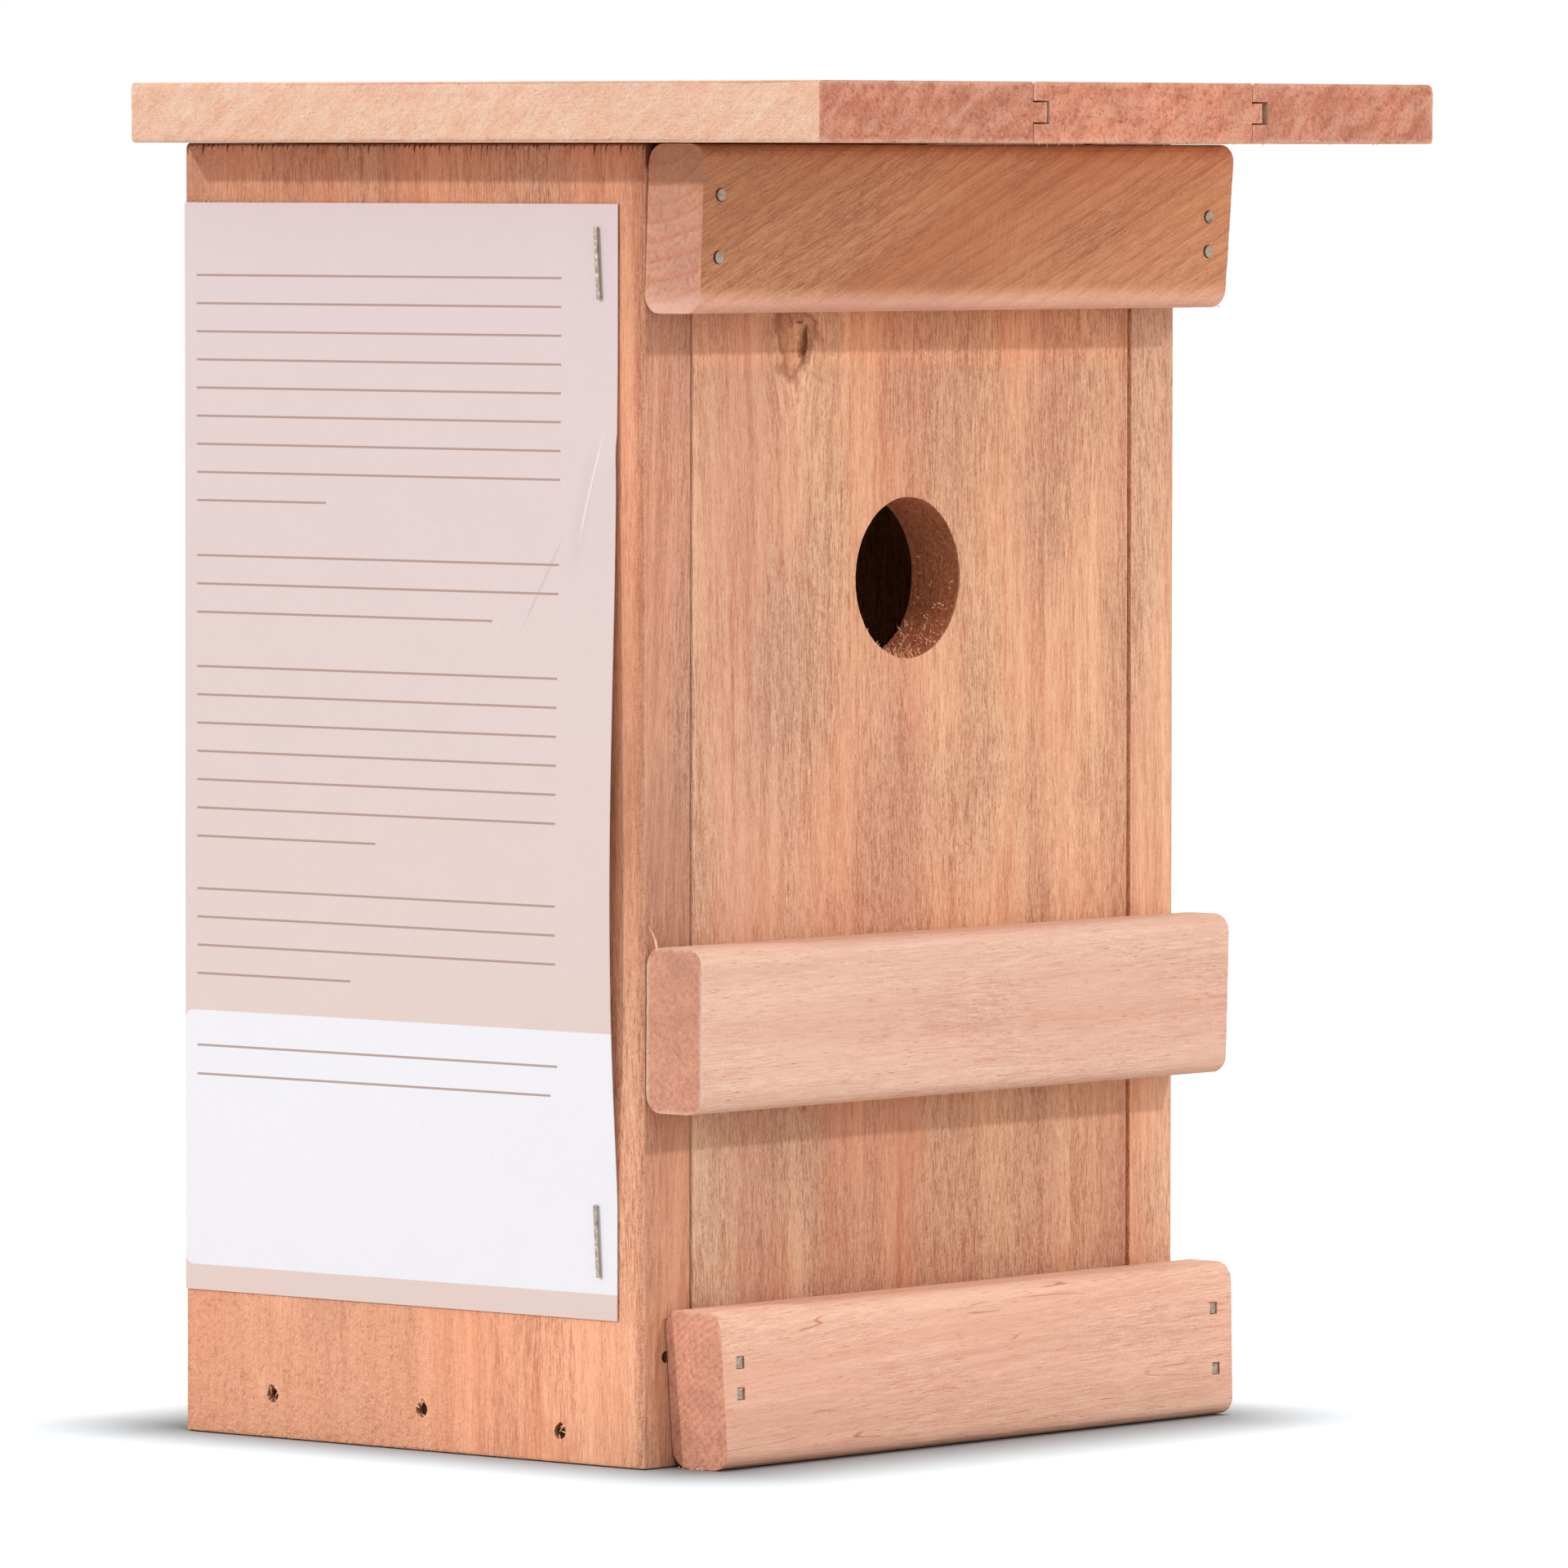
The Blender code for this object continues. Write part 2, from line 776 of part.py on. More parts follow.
def nail_roof(boards, left, right, back):
    """Nail the outer roof boards to the side panels and the middle one to the back."""
    left_board, middle_board, right_board = boards
    steel = make_material("roof_nail_steel", steel_grey, 0.5, 1.0)
    half = side_thickness / 2
    for side, board, panel, x in (
        ("left", left_board, left, body_left + half),
        ("right", right_board, right, body_right - half),
    ):
        nails = []
        for depth_share in roof_side_nail_depth_shares:
            surface = (x, front_plane + body_depth * depth_share, roof_top)
            name = f"roof_{side}_nail_{len(nails) + 1}"
            nails.append(plain_nail(name, surface, DOWN, roof_nail_length, roof_nail_sink))
        for nail in nails:
            add_nail(nail, steel)
        bore(f"roof_{side}_nail_cutter", nails, (board, panel))
    nails = []
    first_joint = roof_left + roof_left_board
    for width_share in roof_back_nail_width_shares:
        x = first_joint + roof_middle_board * width_share
        surface = (x, back_plane - back_thickness / 2, roof_top)
        name = f"roof_back_nail_{len(nails) + 1}"
        nails.append(plain_nail(name, surface, DOWN, roof_nail_length, roof_nail_sink))
    for nail in nails:
        add_nail(nail, steel)
    bore("roof_back_nail_cutter", nails, (middle_board, back))


def build_leaflet(left):
    """Make the leaflet and staple it on the left side panel."""
    leaflet = add_leaflet(make_material("leaflet_paper", paper_rose, 0.6))
    steel = make_material("staple_steel", steel_grey, 0.35, 1.0)
    places = [staple_place(share) for share in staple_height_shares]
    add_staple("lower_staple", places[0], steel)
    add_staple("upper_staple", places[1], steel)
    bore_staples(places, (leaflet, left))


def main():
    """Build the nest box."""
    clear_scene()
    left, right, back, floor = build_body()
    boards = build_roof()
    build_front()
    build_fixed_slats(left, right)
    drill_missed_hole(left)
    nail_body(left, right, back, floor)
    nail_roof(boards, left, right, back)
    build_leaflet(left)


main()
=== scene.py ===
"""Finish of a wooden nest box for small birds.

The boards get their torn edges, rough ends, nail pits and grain, the leaflet
gets its bow and crease, and the box stands in a pale studio. Lengths are in
metres, +Z is up and the front of the box faces -Y.
"""

import math
import random
from collections import namedtuple

import bmesh
import bpy
from mathutils import Euler, Matrix, Vector


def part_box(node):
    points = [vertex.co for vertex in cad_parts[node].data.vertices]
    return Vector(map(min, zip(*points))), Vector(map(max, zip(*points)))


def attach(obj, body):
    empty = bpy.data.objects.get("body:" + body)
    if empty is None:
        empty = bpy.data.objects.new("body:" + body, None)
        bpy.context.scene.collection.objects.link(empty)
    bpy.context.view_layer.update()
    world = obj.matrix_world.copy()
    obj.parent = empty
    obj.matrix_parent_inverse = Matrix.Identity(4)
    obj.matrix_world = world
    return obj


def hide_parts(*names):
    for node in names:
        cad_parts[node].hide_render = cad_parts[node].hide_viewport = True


bl_info = {
    "name": "Nest box finish",
    "version": (1, 0, 0),
    "blender": (4, 5, 0),
    "location": "3D View > Sidebar > Nest box",
    "description": "Dresses a wooden nest box with grain, wear, splinters and a stapled leaflet",
    "category": "Object",
}

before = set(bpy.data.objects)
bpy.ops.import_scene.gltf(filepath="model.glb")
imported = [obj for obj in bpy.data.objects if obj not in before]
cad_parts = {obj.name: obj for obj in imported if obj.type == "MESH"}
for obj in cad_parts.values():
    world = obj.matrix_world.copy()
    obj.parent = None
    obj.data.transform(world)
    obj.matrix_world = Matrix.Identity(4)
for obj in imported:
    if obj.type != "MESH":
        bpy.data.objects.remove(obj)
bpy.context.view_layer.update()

mm = 0.001

# Small sizes of the modelling
weld_distance = 0.000001
cut_threshold = 0.0000001
flat_angle = math.radians(0.3)
smooth_angle = math.radians(24)
cut_overrun = 0.5 * mm
splinter_curl = 0.35

# Corners of the boards, centres of the entrance hole and the knot, and where the camera looks
left_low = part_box("left_side_panel")[0]
right_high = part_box("right_side_panel")[1]
front_low, front_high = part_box("front_panel")
leaflet_low, leaflet_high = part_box("leaflet")
hole_centre = Vector((-0.1 * mm, front_low.y, 151.9 * mm))
hole_radius = 14.03 * mm
knot_centre = Vector((-30.2 * mm, front_low.y, 193.6 * mm))
camera_target = Vector((0.01323, 0.0115, 0.11391))

UP = Vector((0, 0, 1))
AXES = {"X": Vector((1, 0, 0)), "Y": Vector((0, 1, 0)), "Z": UP}

Timber = namedtuple(
    "Timber",
    "pale rosy dark end band ring_width ring streak fibre fleck fleck_size crack pebble",
)
Place = namedtuple("Place", "position direction reach width")
SlatFinish = namedtuple("SlatFinish", "face end scored arcs")

# Kinds of a node group's sockets, and the timber group's inputs in the order of a Timber
VECTOR, NUMBER, COLOUR = "NodeSocketVector", "NodeSocketFloat", "NodeSocketColor"
TIMBER_INPUTS = (
    ("Pale", COLOUR, None),
    ("Rosy", COLOUR, None),
    ("Dark", COLOUR, None),
    ("End Colour", COLOUR, None),
    ("Band Width", NUMBER, 20 * mm),
    ("Ring Width", NUMBER, 4 * mm),
    ("Ring Strength", NUMBER, 0.3),
    ("Streak Strength", NUMBER, 0.3),
    ("Fibre Strength", NUMBER, 0.3),
    ("Fleck Strength", NUMBER, 0.3),
    ("Fleck Size", NUMBER, 1.1 * mm),
    ("Crack Strength", NUMBER, 0.0),
    ("Pebble Strength", NUMBER, 0.0),
)

# Turns that bring the grain along an axis to z
GRAIN_TURNS = {
    "X": Euler((0, math.radians(-90), 0)).to_matrix(),
    "Y": Euler((math.radians(90), 0, 0)).to_matrix(),
    "Z": Matrix.Identity(3),
}


def shade(red, green, blue):
    """Return the linear colour of three display values from 0 to 255."""
    linear = []
    for value in (red, green, blue):
        share = value / 255
        low = share / 12.92
        high = ((share + 0.055) / 1.055) ** 2.4
        linear.append(low if share <= 0.04045 else high)
    return tuple(linear)


def colour_setting(name, description, value):
    """Return a colour property that a user can change."""
    return bpy.props.FloatVectorProperty(
        name=name, description=description, subtype="COLOR", size=3, min=0, max=1, default=value
    )


def length_setting(name, description, value):
    """Return a length property in metres."""
    return bpy.props.FloatProperty(
        name=name, description=description, subtype="DISTANCE", unit="LENGTH", min=0, default=value
    )


def strength_setting(name, description, value):
    """Return a lamp's strength."""
    return bpy.props.FloatProperty(name=name, description=description, min=0, default=value)


def angle_setting(name, description, degrees):
    """Return an angle."""
    return bpy.props.FloatProperty(
        name=name, description=description, subtype="ANGLE", default=math.radians(degrees)
    )


# Stains of small places, with painted shade for recesses, notches and pits, and painted highlight
# and shade for the leaflet's creases
timber_bloom = shade(246, 200, 174)
recess_shade = shade(110, 58, 34)
notch_shade = shade(86, 40, 22)
knot_core, knot_rim, knot_pit = shade(206, 150, 110), shade(150, 90, 56), shade(92, 52, 32)
knot_scar, knot_fleck = shade(122, 74, 46), shade(140, 86, 54)
hole_dark, hole_pale = shade(168, 92, 56), shade(214, 136, 96)
roof_edge_rosy, roof_edge_pale = shade(246, 179, 150), shade(255, 230, 206)
roof_edge_dark, roof_edge_light = shade(200, 124, 96), shade(255, 228, 208)
roof_cloud_pale, roof_cloud_dark = shade(240, 184, 160), shade(188, 108, 80)
roof_pore, roof_speck = shade(150, 76, 50), shade(248, 196, 172)
slat_green, slat_foot_light = shade(176, 134, 96), shade(241, 192, 178)
faint_crease_shade, fold_shade = shade(186, 160, 154), shade(184, 160, 160)
crease_highlight = shade(236, 226, 228)
white = (1, 1, 1)

# Each slat's tints on its faces and its ends, and how clearly saw marks and growth arcs show
slat_finishes = {
    "top_slat": SlatFinish((1, 1, 1), (0.88, 0.98, 1.08), 0.22, 0.15),
    "middle_slat": SlatFinish((0.9, 1.0, 1.08), (0.8, 0.8, 0.8), 0.1, 0.15),
    "bottom_slat": SlatFinish((1.0, 1.045, 1.08), (0.98, 0.98, 0.98), 0.08, 0.34),
}

# Pits of the knot: offsets from its centre and sizes, in millimetres
knot_pits = (
    ((2.4, 0, 0.4), (0.6, 0.5, 2.1)),
    ((1.9, 0, -1.6), (0.7, 0.4, 0.9)),
    ((0.9, 0, 3.4), (1.0, 0.25, 0.35)),
)

# The leaflet's bow: the shares of its height where it starts, ends and stands furthest out
bow_low, bow_high, bow_peak = 0.104, 0.914, 0.34

# Blocks of ruled lines: top in millimetres, rows, the last row's share, pitch in millimetres
ruled_blocks = (
    (204.7, 9, 0.36, 4.96),
    (155.3, 3, 0.82, 5.0),
    (135.7, 7, 0.5, 5.0),
    (96.4, 4, 0.43, 5.0),
    (68.7, 2, 0.98, 5.1),
)
band_low, band_high, band_corner = 29.8 * mm, 74.9 * mm, 1.8 * mm


class NestBoxWood(bpy.types.PropertyGroup):
    """Colours of the boards, the leaflet and the fasteners."""

    poplar_pale: colour_setting("Poplar, pale", "Pale bands of the body", shade(251, 191, 155))
    poplar_rosy: colour_setting("Poplar, rosy", "Rosy bands of the body", shade(244, 171, 134))
    poplar_dark: colour_setting("Poplar, dark", "Dark lines in the poplar", shade(190, 92, 52))
    poplar_end: colour_setting("Poplar end", "Sawn ends of the poplar boards", shade(222, 150, 122))
    front_pale: colour_setting("Front, pale", "Pale bands of the front panel", shade(238, 187, 150))
    front_rosy: colour_setting("Front, rosy", "Rosy bands of the front panel", shade(226, 164, 133))
    front_dark: colour_setting("Front, dark", "Dark lines in the front panel", shade(204, 114, 72))
    roof_pale: colour_setting("Roof, pale", "Pale bands of the roof boards", shade(251, 202, 174))
    roof_rosy: colour_setting("Roof, rosy", "Rosy bands of the roof boards", shade(239, 181, 152))
    roof_end: colour_setting("Roof end", "Sawn ends of the roof boards", shade(223, 150, 123))
    beech_pale: colour_setting("Beech, pale", "Pale bands of the slats", shade(243, 200, 174))
    beech_rosy: colour_setting("Beech, rosy", "Rosy bands of the slats", shade(236, 184, 160))
    beech_dark: colour_setting("Beech, dark", "Flecks and lines in the beech", shade(196, 116, 86))
    beech_end: colour_setting("Beech end", "Sawn ends of the slats", shade(218, 156, 132))
    brown_pale: colour_setting("Brown beech, pale", "Pale bands, top slat", shade(232, 172, 128))
    brown_rosy: colour_setting("Brown beech, rosy", "Brown bands, top slat", shade(216, 146, 104))
    splinter: colour_setting("Splinters", "Torn fibres", shade(250, 208, 172))
    paper_top: colour_setting("Paper, top", "Ground at the leaflet's top", shade(210, 195, 199))
    paper_foot: colour_setting("Paper, foot", "Ground at the leaflet's foot", shade(213, 194, 189))
    paper_band: colour_setting("Paper band", "Unprinted band of the leaflet", shade(224, 225, 233))
    paper_lines: colour_setting("Ruled lines", "Lines on the leaflet", shade(160, 128, 116))
    steel: colour_setting("Steel", "Nails, pins, brads and staples", shade(184, 170, 158))
    sunk_steel: colour_setting("Sunk steel", "Nails driven into the boards", shade(112, 74, 54))


class NestBoxShape(bpy.types.PropertyGroup):
    """Sizes of the torn, rough and bowed places."""

    roof_seat: length_setting("Roof seat", "How far the boards rise to meet the roof", 0.25 * mm)
    torn_edge: length_setting("Torn edge", "Longest tear along the side panels' tops", 3.4 * mm)
    chipped_edge: length_setting("Chipped edge", "Longest chip along the panels' feet", 0.7 * mm)
    end_cell: length_setting("End cell", "Spacing of the points on a sawn end", 0.75 * mm)
    end_relief: length_setting("End relief", "Depth of a sawn end's roughness", 0.22 * mm)
    edge_relief: length_setting("Edge relief", "Depth of dents in the roof's long edges", 0.35 * mm)
    hole_relief: length_setting("Hole relief", "Depth of the entrance hole's roughness", 0.28 * mm)
    splinter_width: length_setting("Splinter width", "Thickness of a torn fibre", 0.2 * mm)
    leaflet_bow: length_setting("Leaflet bow", "How far the leaflet's edge stands off", 2.2 * mm)
    leaflet_crease: length_setting("Leaflet crease", "Height of the leaflet's crease", 0.9 * mm)
    paper_thickness: length_setting("Paper thickness", "Thickness of the leaflet", 0.16 * mm)


class NestBoxStudio(bpy.types.PropertyGroup):
    """The floor, the lamps and the camera."""

    fill: strength_setting("Fill", "Strength of the light from all round", 0.66)
    fill_colour: colour_setting("Fill colour", "Colour of light from all round", (1.0, 0.94, 0.88))
    front_lamp: strength_setting("Front lamp", "Strength of the lamp before the box", 1.08)
    side_lamp: strength_setting("Side lamp", "Strength of the lamp on the left", 1.5)
    soft_lamp: strength_setting("Soft lamp", "Strength of the lamp beside the camera", 0.7)
    top_lamp: strength_setting("Top lamp", "Strength of the broad lamp above", 0.4)
    floor_lamp: strength_setting("Floor lamp", "Strength of the floor's own lamp", 6.6)
    lamp_colour: colour_setting("Lamp colour", "Colour of the lamps", (0.96, 0.99, 1.0))
    floor_colour: colour_setting("Floor", "Colour of the floor", shade(152, 152, 152))
    floor_seen: colour_setting("Floor, seen", "Its colour before the camera", shade(173, 182, 190))
    camera_distance: length_setting("Camera distance", "From the camera to its target", 2.34971)
    camera_turn: angle_setting("Camera turn", "Turn about the box", -49.36)
    camera_rise: angle_setting("Camera rise", "Height over the floor, as an angle", 2.71)
    camera_roll: angle_setting("Camera roll", "Roll of the camera", 0.06)
    camera_lens: bpy.props.FloatProperty(
        name="Lens", description="Focal length in millimetres", min=1, default=302.53
    )


def pick_only(*items):
    """Select only these objects, the first of them active."""
    bpy.ops.object.select_all(action="DESELECT")
    for item in items:
        item.select_set(True)
    bpy.context.view_layer.objects.active = items[0]


def start_editing(item):
    """Open one object in edit mode with nothing selected."""
    pick_only(item)
    bpy.ops.object.mode_set(mode="EDIT")
    bpy.ops.mesh.select_mode(type="FACE")
    bpy.ops.mesh.select_all(action="DESELECT")


def stop_editing():
    """Go back to object mode."""
    bpy.ops.object.mode_set(mode="OBJECT")


def choose_faces(item, test):
    """Select the faces of the edited object that pass the test."""
    bpy.ops.mesh.select_mode(type="FACE")
    bpy.ops.mesh.select_all(action="DESELECT")
    shape = bmesh.from_edit_mesh(item.data)
    for face in shape.faces:
        face.select_set(bool(test(face)))
    bmesh.update_edit_mesh(item.data)


def apply_modifier(item, modifier):
    """Make a modifier's result the object's mesh."""
    pick_only(item)
    bpy.ops.object.modifier_apply(modifier=modifier.name)


def copy_board(node, name):
    """Copy a node's mesh as a new board, its triangles merged into whole faces."""
    board = bpy.data.objects.new(name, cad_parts[node].data.copy())
    bpy.context.scene.collection.objects.link(board)
    board.data.name = name
    board.data.materials.clear()
    start_editing(board)
    bpy.ops.mesh.select_all(action="SELECT")
    bpy.ops.mesh.customdata_custom_splitnormals_clear()
    bpy.ops.mesh.remove_doubles(threshold=weld_distance)
    bpy.ops.mesh.dissolve_limited(angle_limit=flat_angle)
    stop_editing()
    return board


def seat_board(board, distance, depth=0.1 * mm):
    """Raise the top of a board, so that it meets what lies on it."""
    start_editing(board)
    shape = bmesh.from_edit_mesh(board.data)
    bpy.ops.mesh.select_mode(type="VERT")
    top = max(vertex.co.z for vertex in shape.verts)
    for vertex in shape.verts:
        vertex.select_set(vertex.co.z > top - depth)
    bmesh.update_edit_mesh(board.data)
    bpy.ops.transform.translate(value=(0, 0, distance))
    stop_editing()


def divide_faces(board, test, cell, axes):
    """Cut the faces that pass the test into cells by planes across the axes."""
    start_editing(board)
    choose_faces(board, test)
    shape = bmesh.from_edit_mesh(board.data)
    points = [vertex.co.copy() for face in shape.faces if face.select for vertex in face.verts]
    bpy.ops.mesh.hide(unselected=True)
    for axis in axes:
        normal = AXES[axis]
        reach = [point.dot(normal) for point in points]
        count = max(1, round((max(reach) - min(reach)) / cell))
        step = (max(reach) - min(reach)) / count
        for number in range(1, count):
            place = normal * (min(reach) + step * number)
            bpy.ops.mesh.select_all(action="SELECT")
            bpy.ops.mesh.bisect(plane_co=place, plane_no=normal, threshold=cut_threshold)
    bpy.ops.mesh.reveal(select=False)
    stop_editing()


def divide_edges(item, axis, least, cuts):
    """Cut the edges that reach further than a length along an axis into shorter ones."""
    start_editing(item)
    bpy.ops.mesh.select_mode(type="EDGE")
    for edge in bmesh.from_edit_mesh(item.data).edges:
        first, last = (getattr(vertex.co, axis) for vertex in edge.verts)
        edge.select_set(abs(first - last) > least)
    bmesh.update_edit_mesh(item.data)
    bpy.ops.mesh.subdivide(number_cuts=cuts)
    stop_editing()


def press_dents(item, size, depth, direction="NORMAL", group=""):
    """Press dents of a size into an object, or into its vertex group."""
    texture = bpy.data.textures.new("dents", "CLOUDS")
    texture.noise_scale = size
    texture.noise_depth = 3
    dents = item.modifiers.new("dents", "DISPLACE")
    dents.texture = texture
    dents.vertex_group = group
    dents.direction = direction
    dents.mid_level = 0
    dents.strength = depth
    apply_modifier(item, dents)
    bpy.data.textures.remove(texture)


def roughen_faces(board, test, direction, depth, size):
    """Press dents of a size into the faces that pass the test, along one axis."""
    board.vertex_groups.new(name="rough faces")
    start_editing(board)
    choose_faces(board, test)
    bpy.ops.object.vertex_group_assign()
    stop_editing()
    press_dents(board, size, depth, direction, "rough faces")
    board.vertex_groups.remove(board.vertex_groups["rough faces"])


def faces_towards(direction, steepness=0.93):
    """Return a test for faces that look along a direction."""
    return lambda face: face.normal.dot(direction) > steepness


def rough_end(board, axis, side, shape, size=1.4 * mm):
    """Give the board's flat end on one side of an axis the relief of a sawn end."""
    test = faces_towards(AXES[axis] * side)
    across = [name for name in AXES if name != axis]
    divide_faces(board, test, shape.end_cell, across)
    roughen_faces(board, test, axis, -side * shape.end_relief, size)


def carve(board, cutter, crossing=False):
    """Take the cutter's shape, whose parts may cross each other, out of the board."""
    boolean = board.modifiers.new("carve", "BOOLEAN")
    boolean.operation = "DIFFERENCE"
    boolean.solver = "EXACT"
    boolean.use_self = crossing
    boolean.object = cutter
    apply_modifier(board, boolean)
    bpy.data.objects.remove(cutter, do_unlink=True)


def move_all(item, offset, half_turn=False):
    """Move an object's whole mesh, turned upside down first where that is asked."""
    start_editing(item)
    bpy.ops.mesh.select_all(action="SELECT")
    if half_turn:
        bpy.ops.transform.rotate(
            value=math.pi, orient_axis="X", orient_type="GLOBAL", center_override=(0, 0, 0)
        )
    bpy.ops.transform.translate(value=offset)
    stop_editing()


def make_wedge():
    """Model a four-sided wedge of unit length that tapers downwards, its mouth at the origin."""
    bpy.ops.object.select_all(action="DESELECT")
    bpy.ops.mesh.primitive_cone_add(vertices=4, radius1=0.5, radius2=0, depth=1)
    wedge = bpy.context.object
    move_all(wedge, (0, 0, -0.5), half_turn=True)
    return wedge


def make_splinter():
    """Model a straight splinter of unit length that tapers, its root at the origin."""
    bpy.ops.object.select_all(action="DESELECT")
    bpy.ops.mesh.primitive_cone_add(vertices=5, radius1=0.5, radius2=0.1, depth=1)
    splinter = bpy.context.object
    divide_edges(splinter, "z", 0.5, 3)
    move_all(splinter, (0, 0, 0.5))
    return splinter


def copy_template(name, template):
    """Return a copy of a template, with its own mesh."""
    copy = bpy.data.objects.new(name, template.data.copy())
    bpy.context.scene.collection.objects.link(copy)
    return copy


def turn_towards(direction):
    """Return the turn that brings up to a direction."""
    return UP.rotation_difference(direction).to_matrix().to_4x4()


def join_all(items, name):
    """Join objects into one."""
    pick_only(*items)
    bpy.ops.object.join()
    joined = bpy.context.object
    joined.name = name
    joined.data.name = name
    return joined


def scatter(name, template, places, rng):
    """Copy the splinter to the places, each copy curled and with its own mesh, and join them."""
    copies = []
    for place in places:
        copy = copy_template(name, template)
        bend = splinter_curl * rng.uniform(0.4, 1.6)
        for vertex in copy.data.vertices:
            height = vertex.co.z
            vertex.co.x *= place.width
            vertex.co.y *= place.width
            vertex.co.z = height * place.reach
            vertex.co.x += bend * place.reach * height**2
        spin = Matrix.Rotation(rng.uniform(0, math.tau), 4, "Z")
        copy.data.transform(
            Matrix.Translation(place.position) @ turn_towards(place.direction) @ spin
        )
        copies.append(copy)
    return join_all(copies, name)


def tear_edge(board, start, end, into, along, count, longest, rng):
    """Carve a row of torn notches along an edge, tapering along a direction."""
    wedge = make_wedge()
    notches = []
    pitch = (end - start) / count
    for number in range(count):
        position = start + pitch * (number + rng.uniform(0.3, 0.7))
        reach = longest * (0.2 + 0.8 * rng.random() ** 1.8) + cut_overrun
        width = pitch.length * rng.uniform(0.5, 0.92)
        position = position + into * width * rng.uniform(-0.1, 0.25) - along * cut_overrun
        notch = copy_template("notch", wedge)
        size = Matrix.Diagonal((width, width, reach, 1))
        notch.data.transform(Matrix.Translation(position) @ turn_towards(-along) @ size)
        notches.append(notch)
    carve(board, join_all(notches, "notches"), crossing=True)
    bpy.data.objects.remove(wedge, do_unlink=True)


def pit_cutter(centre, size, rng):
    """Return an uneven pit shape about a point."""
    bpy.ops.object.select_all(action="DESELECT")
    bpy.ops.mesh.primitive_ico_sphere_add(subdivisions=3, radius=1, location=centre)
    cutter = bpy.context.object
    cutter.scale = size
    bpy.ops.object.transform_apply(location=True, rotation=True, scale=True)
    least = min(size)
    start_editing(cutter)
    bpy.ops.mesh.select_all(action="SELECT")
    bpy.ops.transform.vertex_random(offset=least * 0.25, seed=rng.randrange(1000))
    stop_editing()
    return cutter


def finish_piece(piece, material, body, slot, *nodes):
    """Shade a piece, give it its material and let it ride on its body in place of the nodes."""
    pick_only(piece)
    bpy.ops.object.shade_smooth_by_angle(angle=smooth_angle)
    piece.data.materials.clear()
    piece.data.materials.append(material)
    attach(piece, body)
    if nodes:
        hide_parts(*nodes)


class Field:
    """A value that changes over a surface, on which sums are made as nodes."""

    def __init__(self, socket):
        self.socket = socket
        self.tree = socket.id_data

    def __add__(self, other):
        return calculate("ADD", self, other)

    def __sub__(self, other):
        return calculate("SUBTRACT", self, other)

    def __mul__(self, other):
        return calculate("MULTIPLY", self, other)

    def __truediv__(self, other):
        return calculate("DIVIDE", self, other)

    def __rtruediv__(self, other):
        return calculate("DIVIDE", other, self)

    def __abs__(self):
        return calculate("ABSOLUTE", self)

    def dot(self, other):
        """Return the dot product with another vector."""
        return calculate("DOT_PRODUCT", self, other)

    def into(self, socket):
        """Let the value feed an input."""
        self.tree.links.new(self.socket, socket)


def tree_of(terms):
    """Return the node tree that the fields among some terms are in."""
    return next(term.tree for term in terms if isinstance(term, Field))


def fill_inputs(node, inputs):
    """Set a node's inputs to values, or let fields feed them."""
    for key, value in inputs.items():
        if isinstance(value, Field):
            value.into(node.inputs[key])
        else:
            node.inputs[key].default_value = value


def add_node(tree, kind, inputs=None, **settings):
    """Add a node with its settings, and fill its inputs with values or fields."""
    node = tree.nodes.new(kind)
    for name, value in settings.items():
        setattr(node, name, value)
    fill_inputs(node, inputs or {})
    return node


def calculate(operation, *terms):
    """Return the result of a Math node, or of a Vector Math node where a term has three parts."""
    wide = False
    for term in terms:
        wide |= term.socket.type != "VALUE" if isinstance(term, Field) else hasattr(term, "__len__")
    kind = "ShaderNodeVectorMath" if wide else "ShaderNodeMath"
    node = add_node(tree_of(terms), kind, dict(enumerate(terms)), operation=operation)
    return Field(node.outputs[1 if operation in ("LENGTH", "DOT_PRODUCT") else 0])


def times_plus(value, factor, added):
    """Return a number times a factor, plus another number, from one node."""
    return calculate("MULTIPLY_ADD", value, factor, added)


def larger(*terms):
    """Return the larger of two values."""
    return calculate("MAXIMUM", *terms)


def smaller(*terms):
    """Return the smaller of two values."""
    return calculate("MINIMUM", *terms)


def length(vector):
    """Return a vector's length."""
    return calculate("LENGTH", vector)


def brighten(colour, factor):
    """Return a colour or a vector times a number."""
    inputs = {0: colour, "Scale": factor}
    tree = tree_of(inputs.values())
    return Field(add_node(tree, "ShaderNodeVectorMath", inputs, operation="SCALE").outputs[0])


def mix(share, first, second):
    """Return a blend from the first colour to the second."""
    inputs = {0: share, 6: first, 7: second}
    node = add_node(tree_of(inputs.values()), "ShaderNodeMix", inputs, data_type="RGBA")
    return Field(node.outputs[2])


def spread(value, low, high, to_low=0.0, to_high=1.0, kind="LINEAR"):
    """Return the value stretched from one range to another, and clamped."""
    inputs = dict(zip(range(5), (value, low, high, to_low, to_high)))
    node = add_node(value.tree, "ShaderNodeMapRange", inputs, interpolation_type=kind)
    return Field(node.outputs["Result"])


def noise(place, cells, detail=2.0, roughness=0.5, output=0):
    """Return noise with a number of cells per metre along each axis."""
    inputs = {"Vector": place * cells, "Scale": 1.0, "Detail": detail, "Roughness": roughness}
    return Field(add_node(place.tree, "ShaderNodeTexNoise", inputs).outputs[output])


def centred_noise(*settings):
    """Return noise stretched to the range from about -1 to 1."""
    return times_plus(noise(*settings), 4.0, -2.0)


def join_axes(x, y, z):
    """Return a vector made of three numbers."""
    return Field(add_node(x.tree, "ShaderNodeCombineXYZ", {0: x, 1: y, 2: z}).outputs[0])


def split_axes(vector):
    """Return the three numbers of a vector."""
    outputs = add_node(vector.tree, "ShaderNodeSeparateXYZ", {0: vector}).outputs
    return [Field(output) for output in outputs]


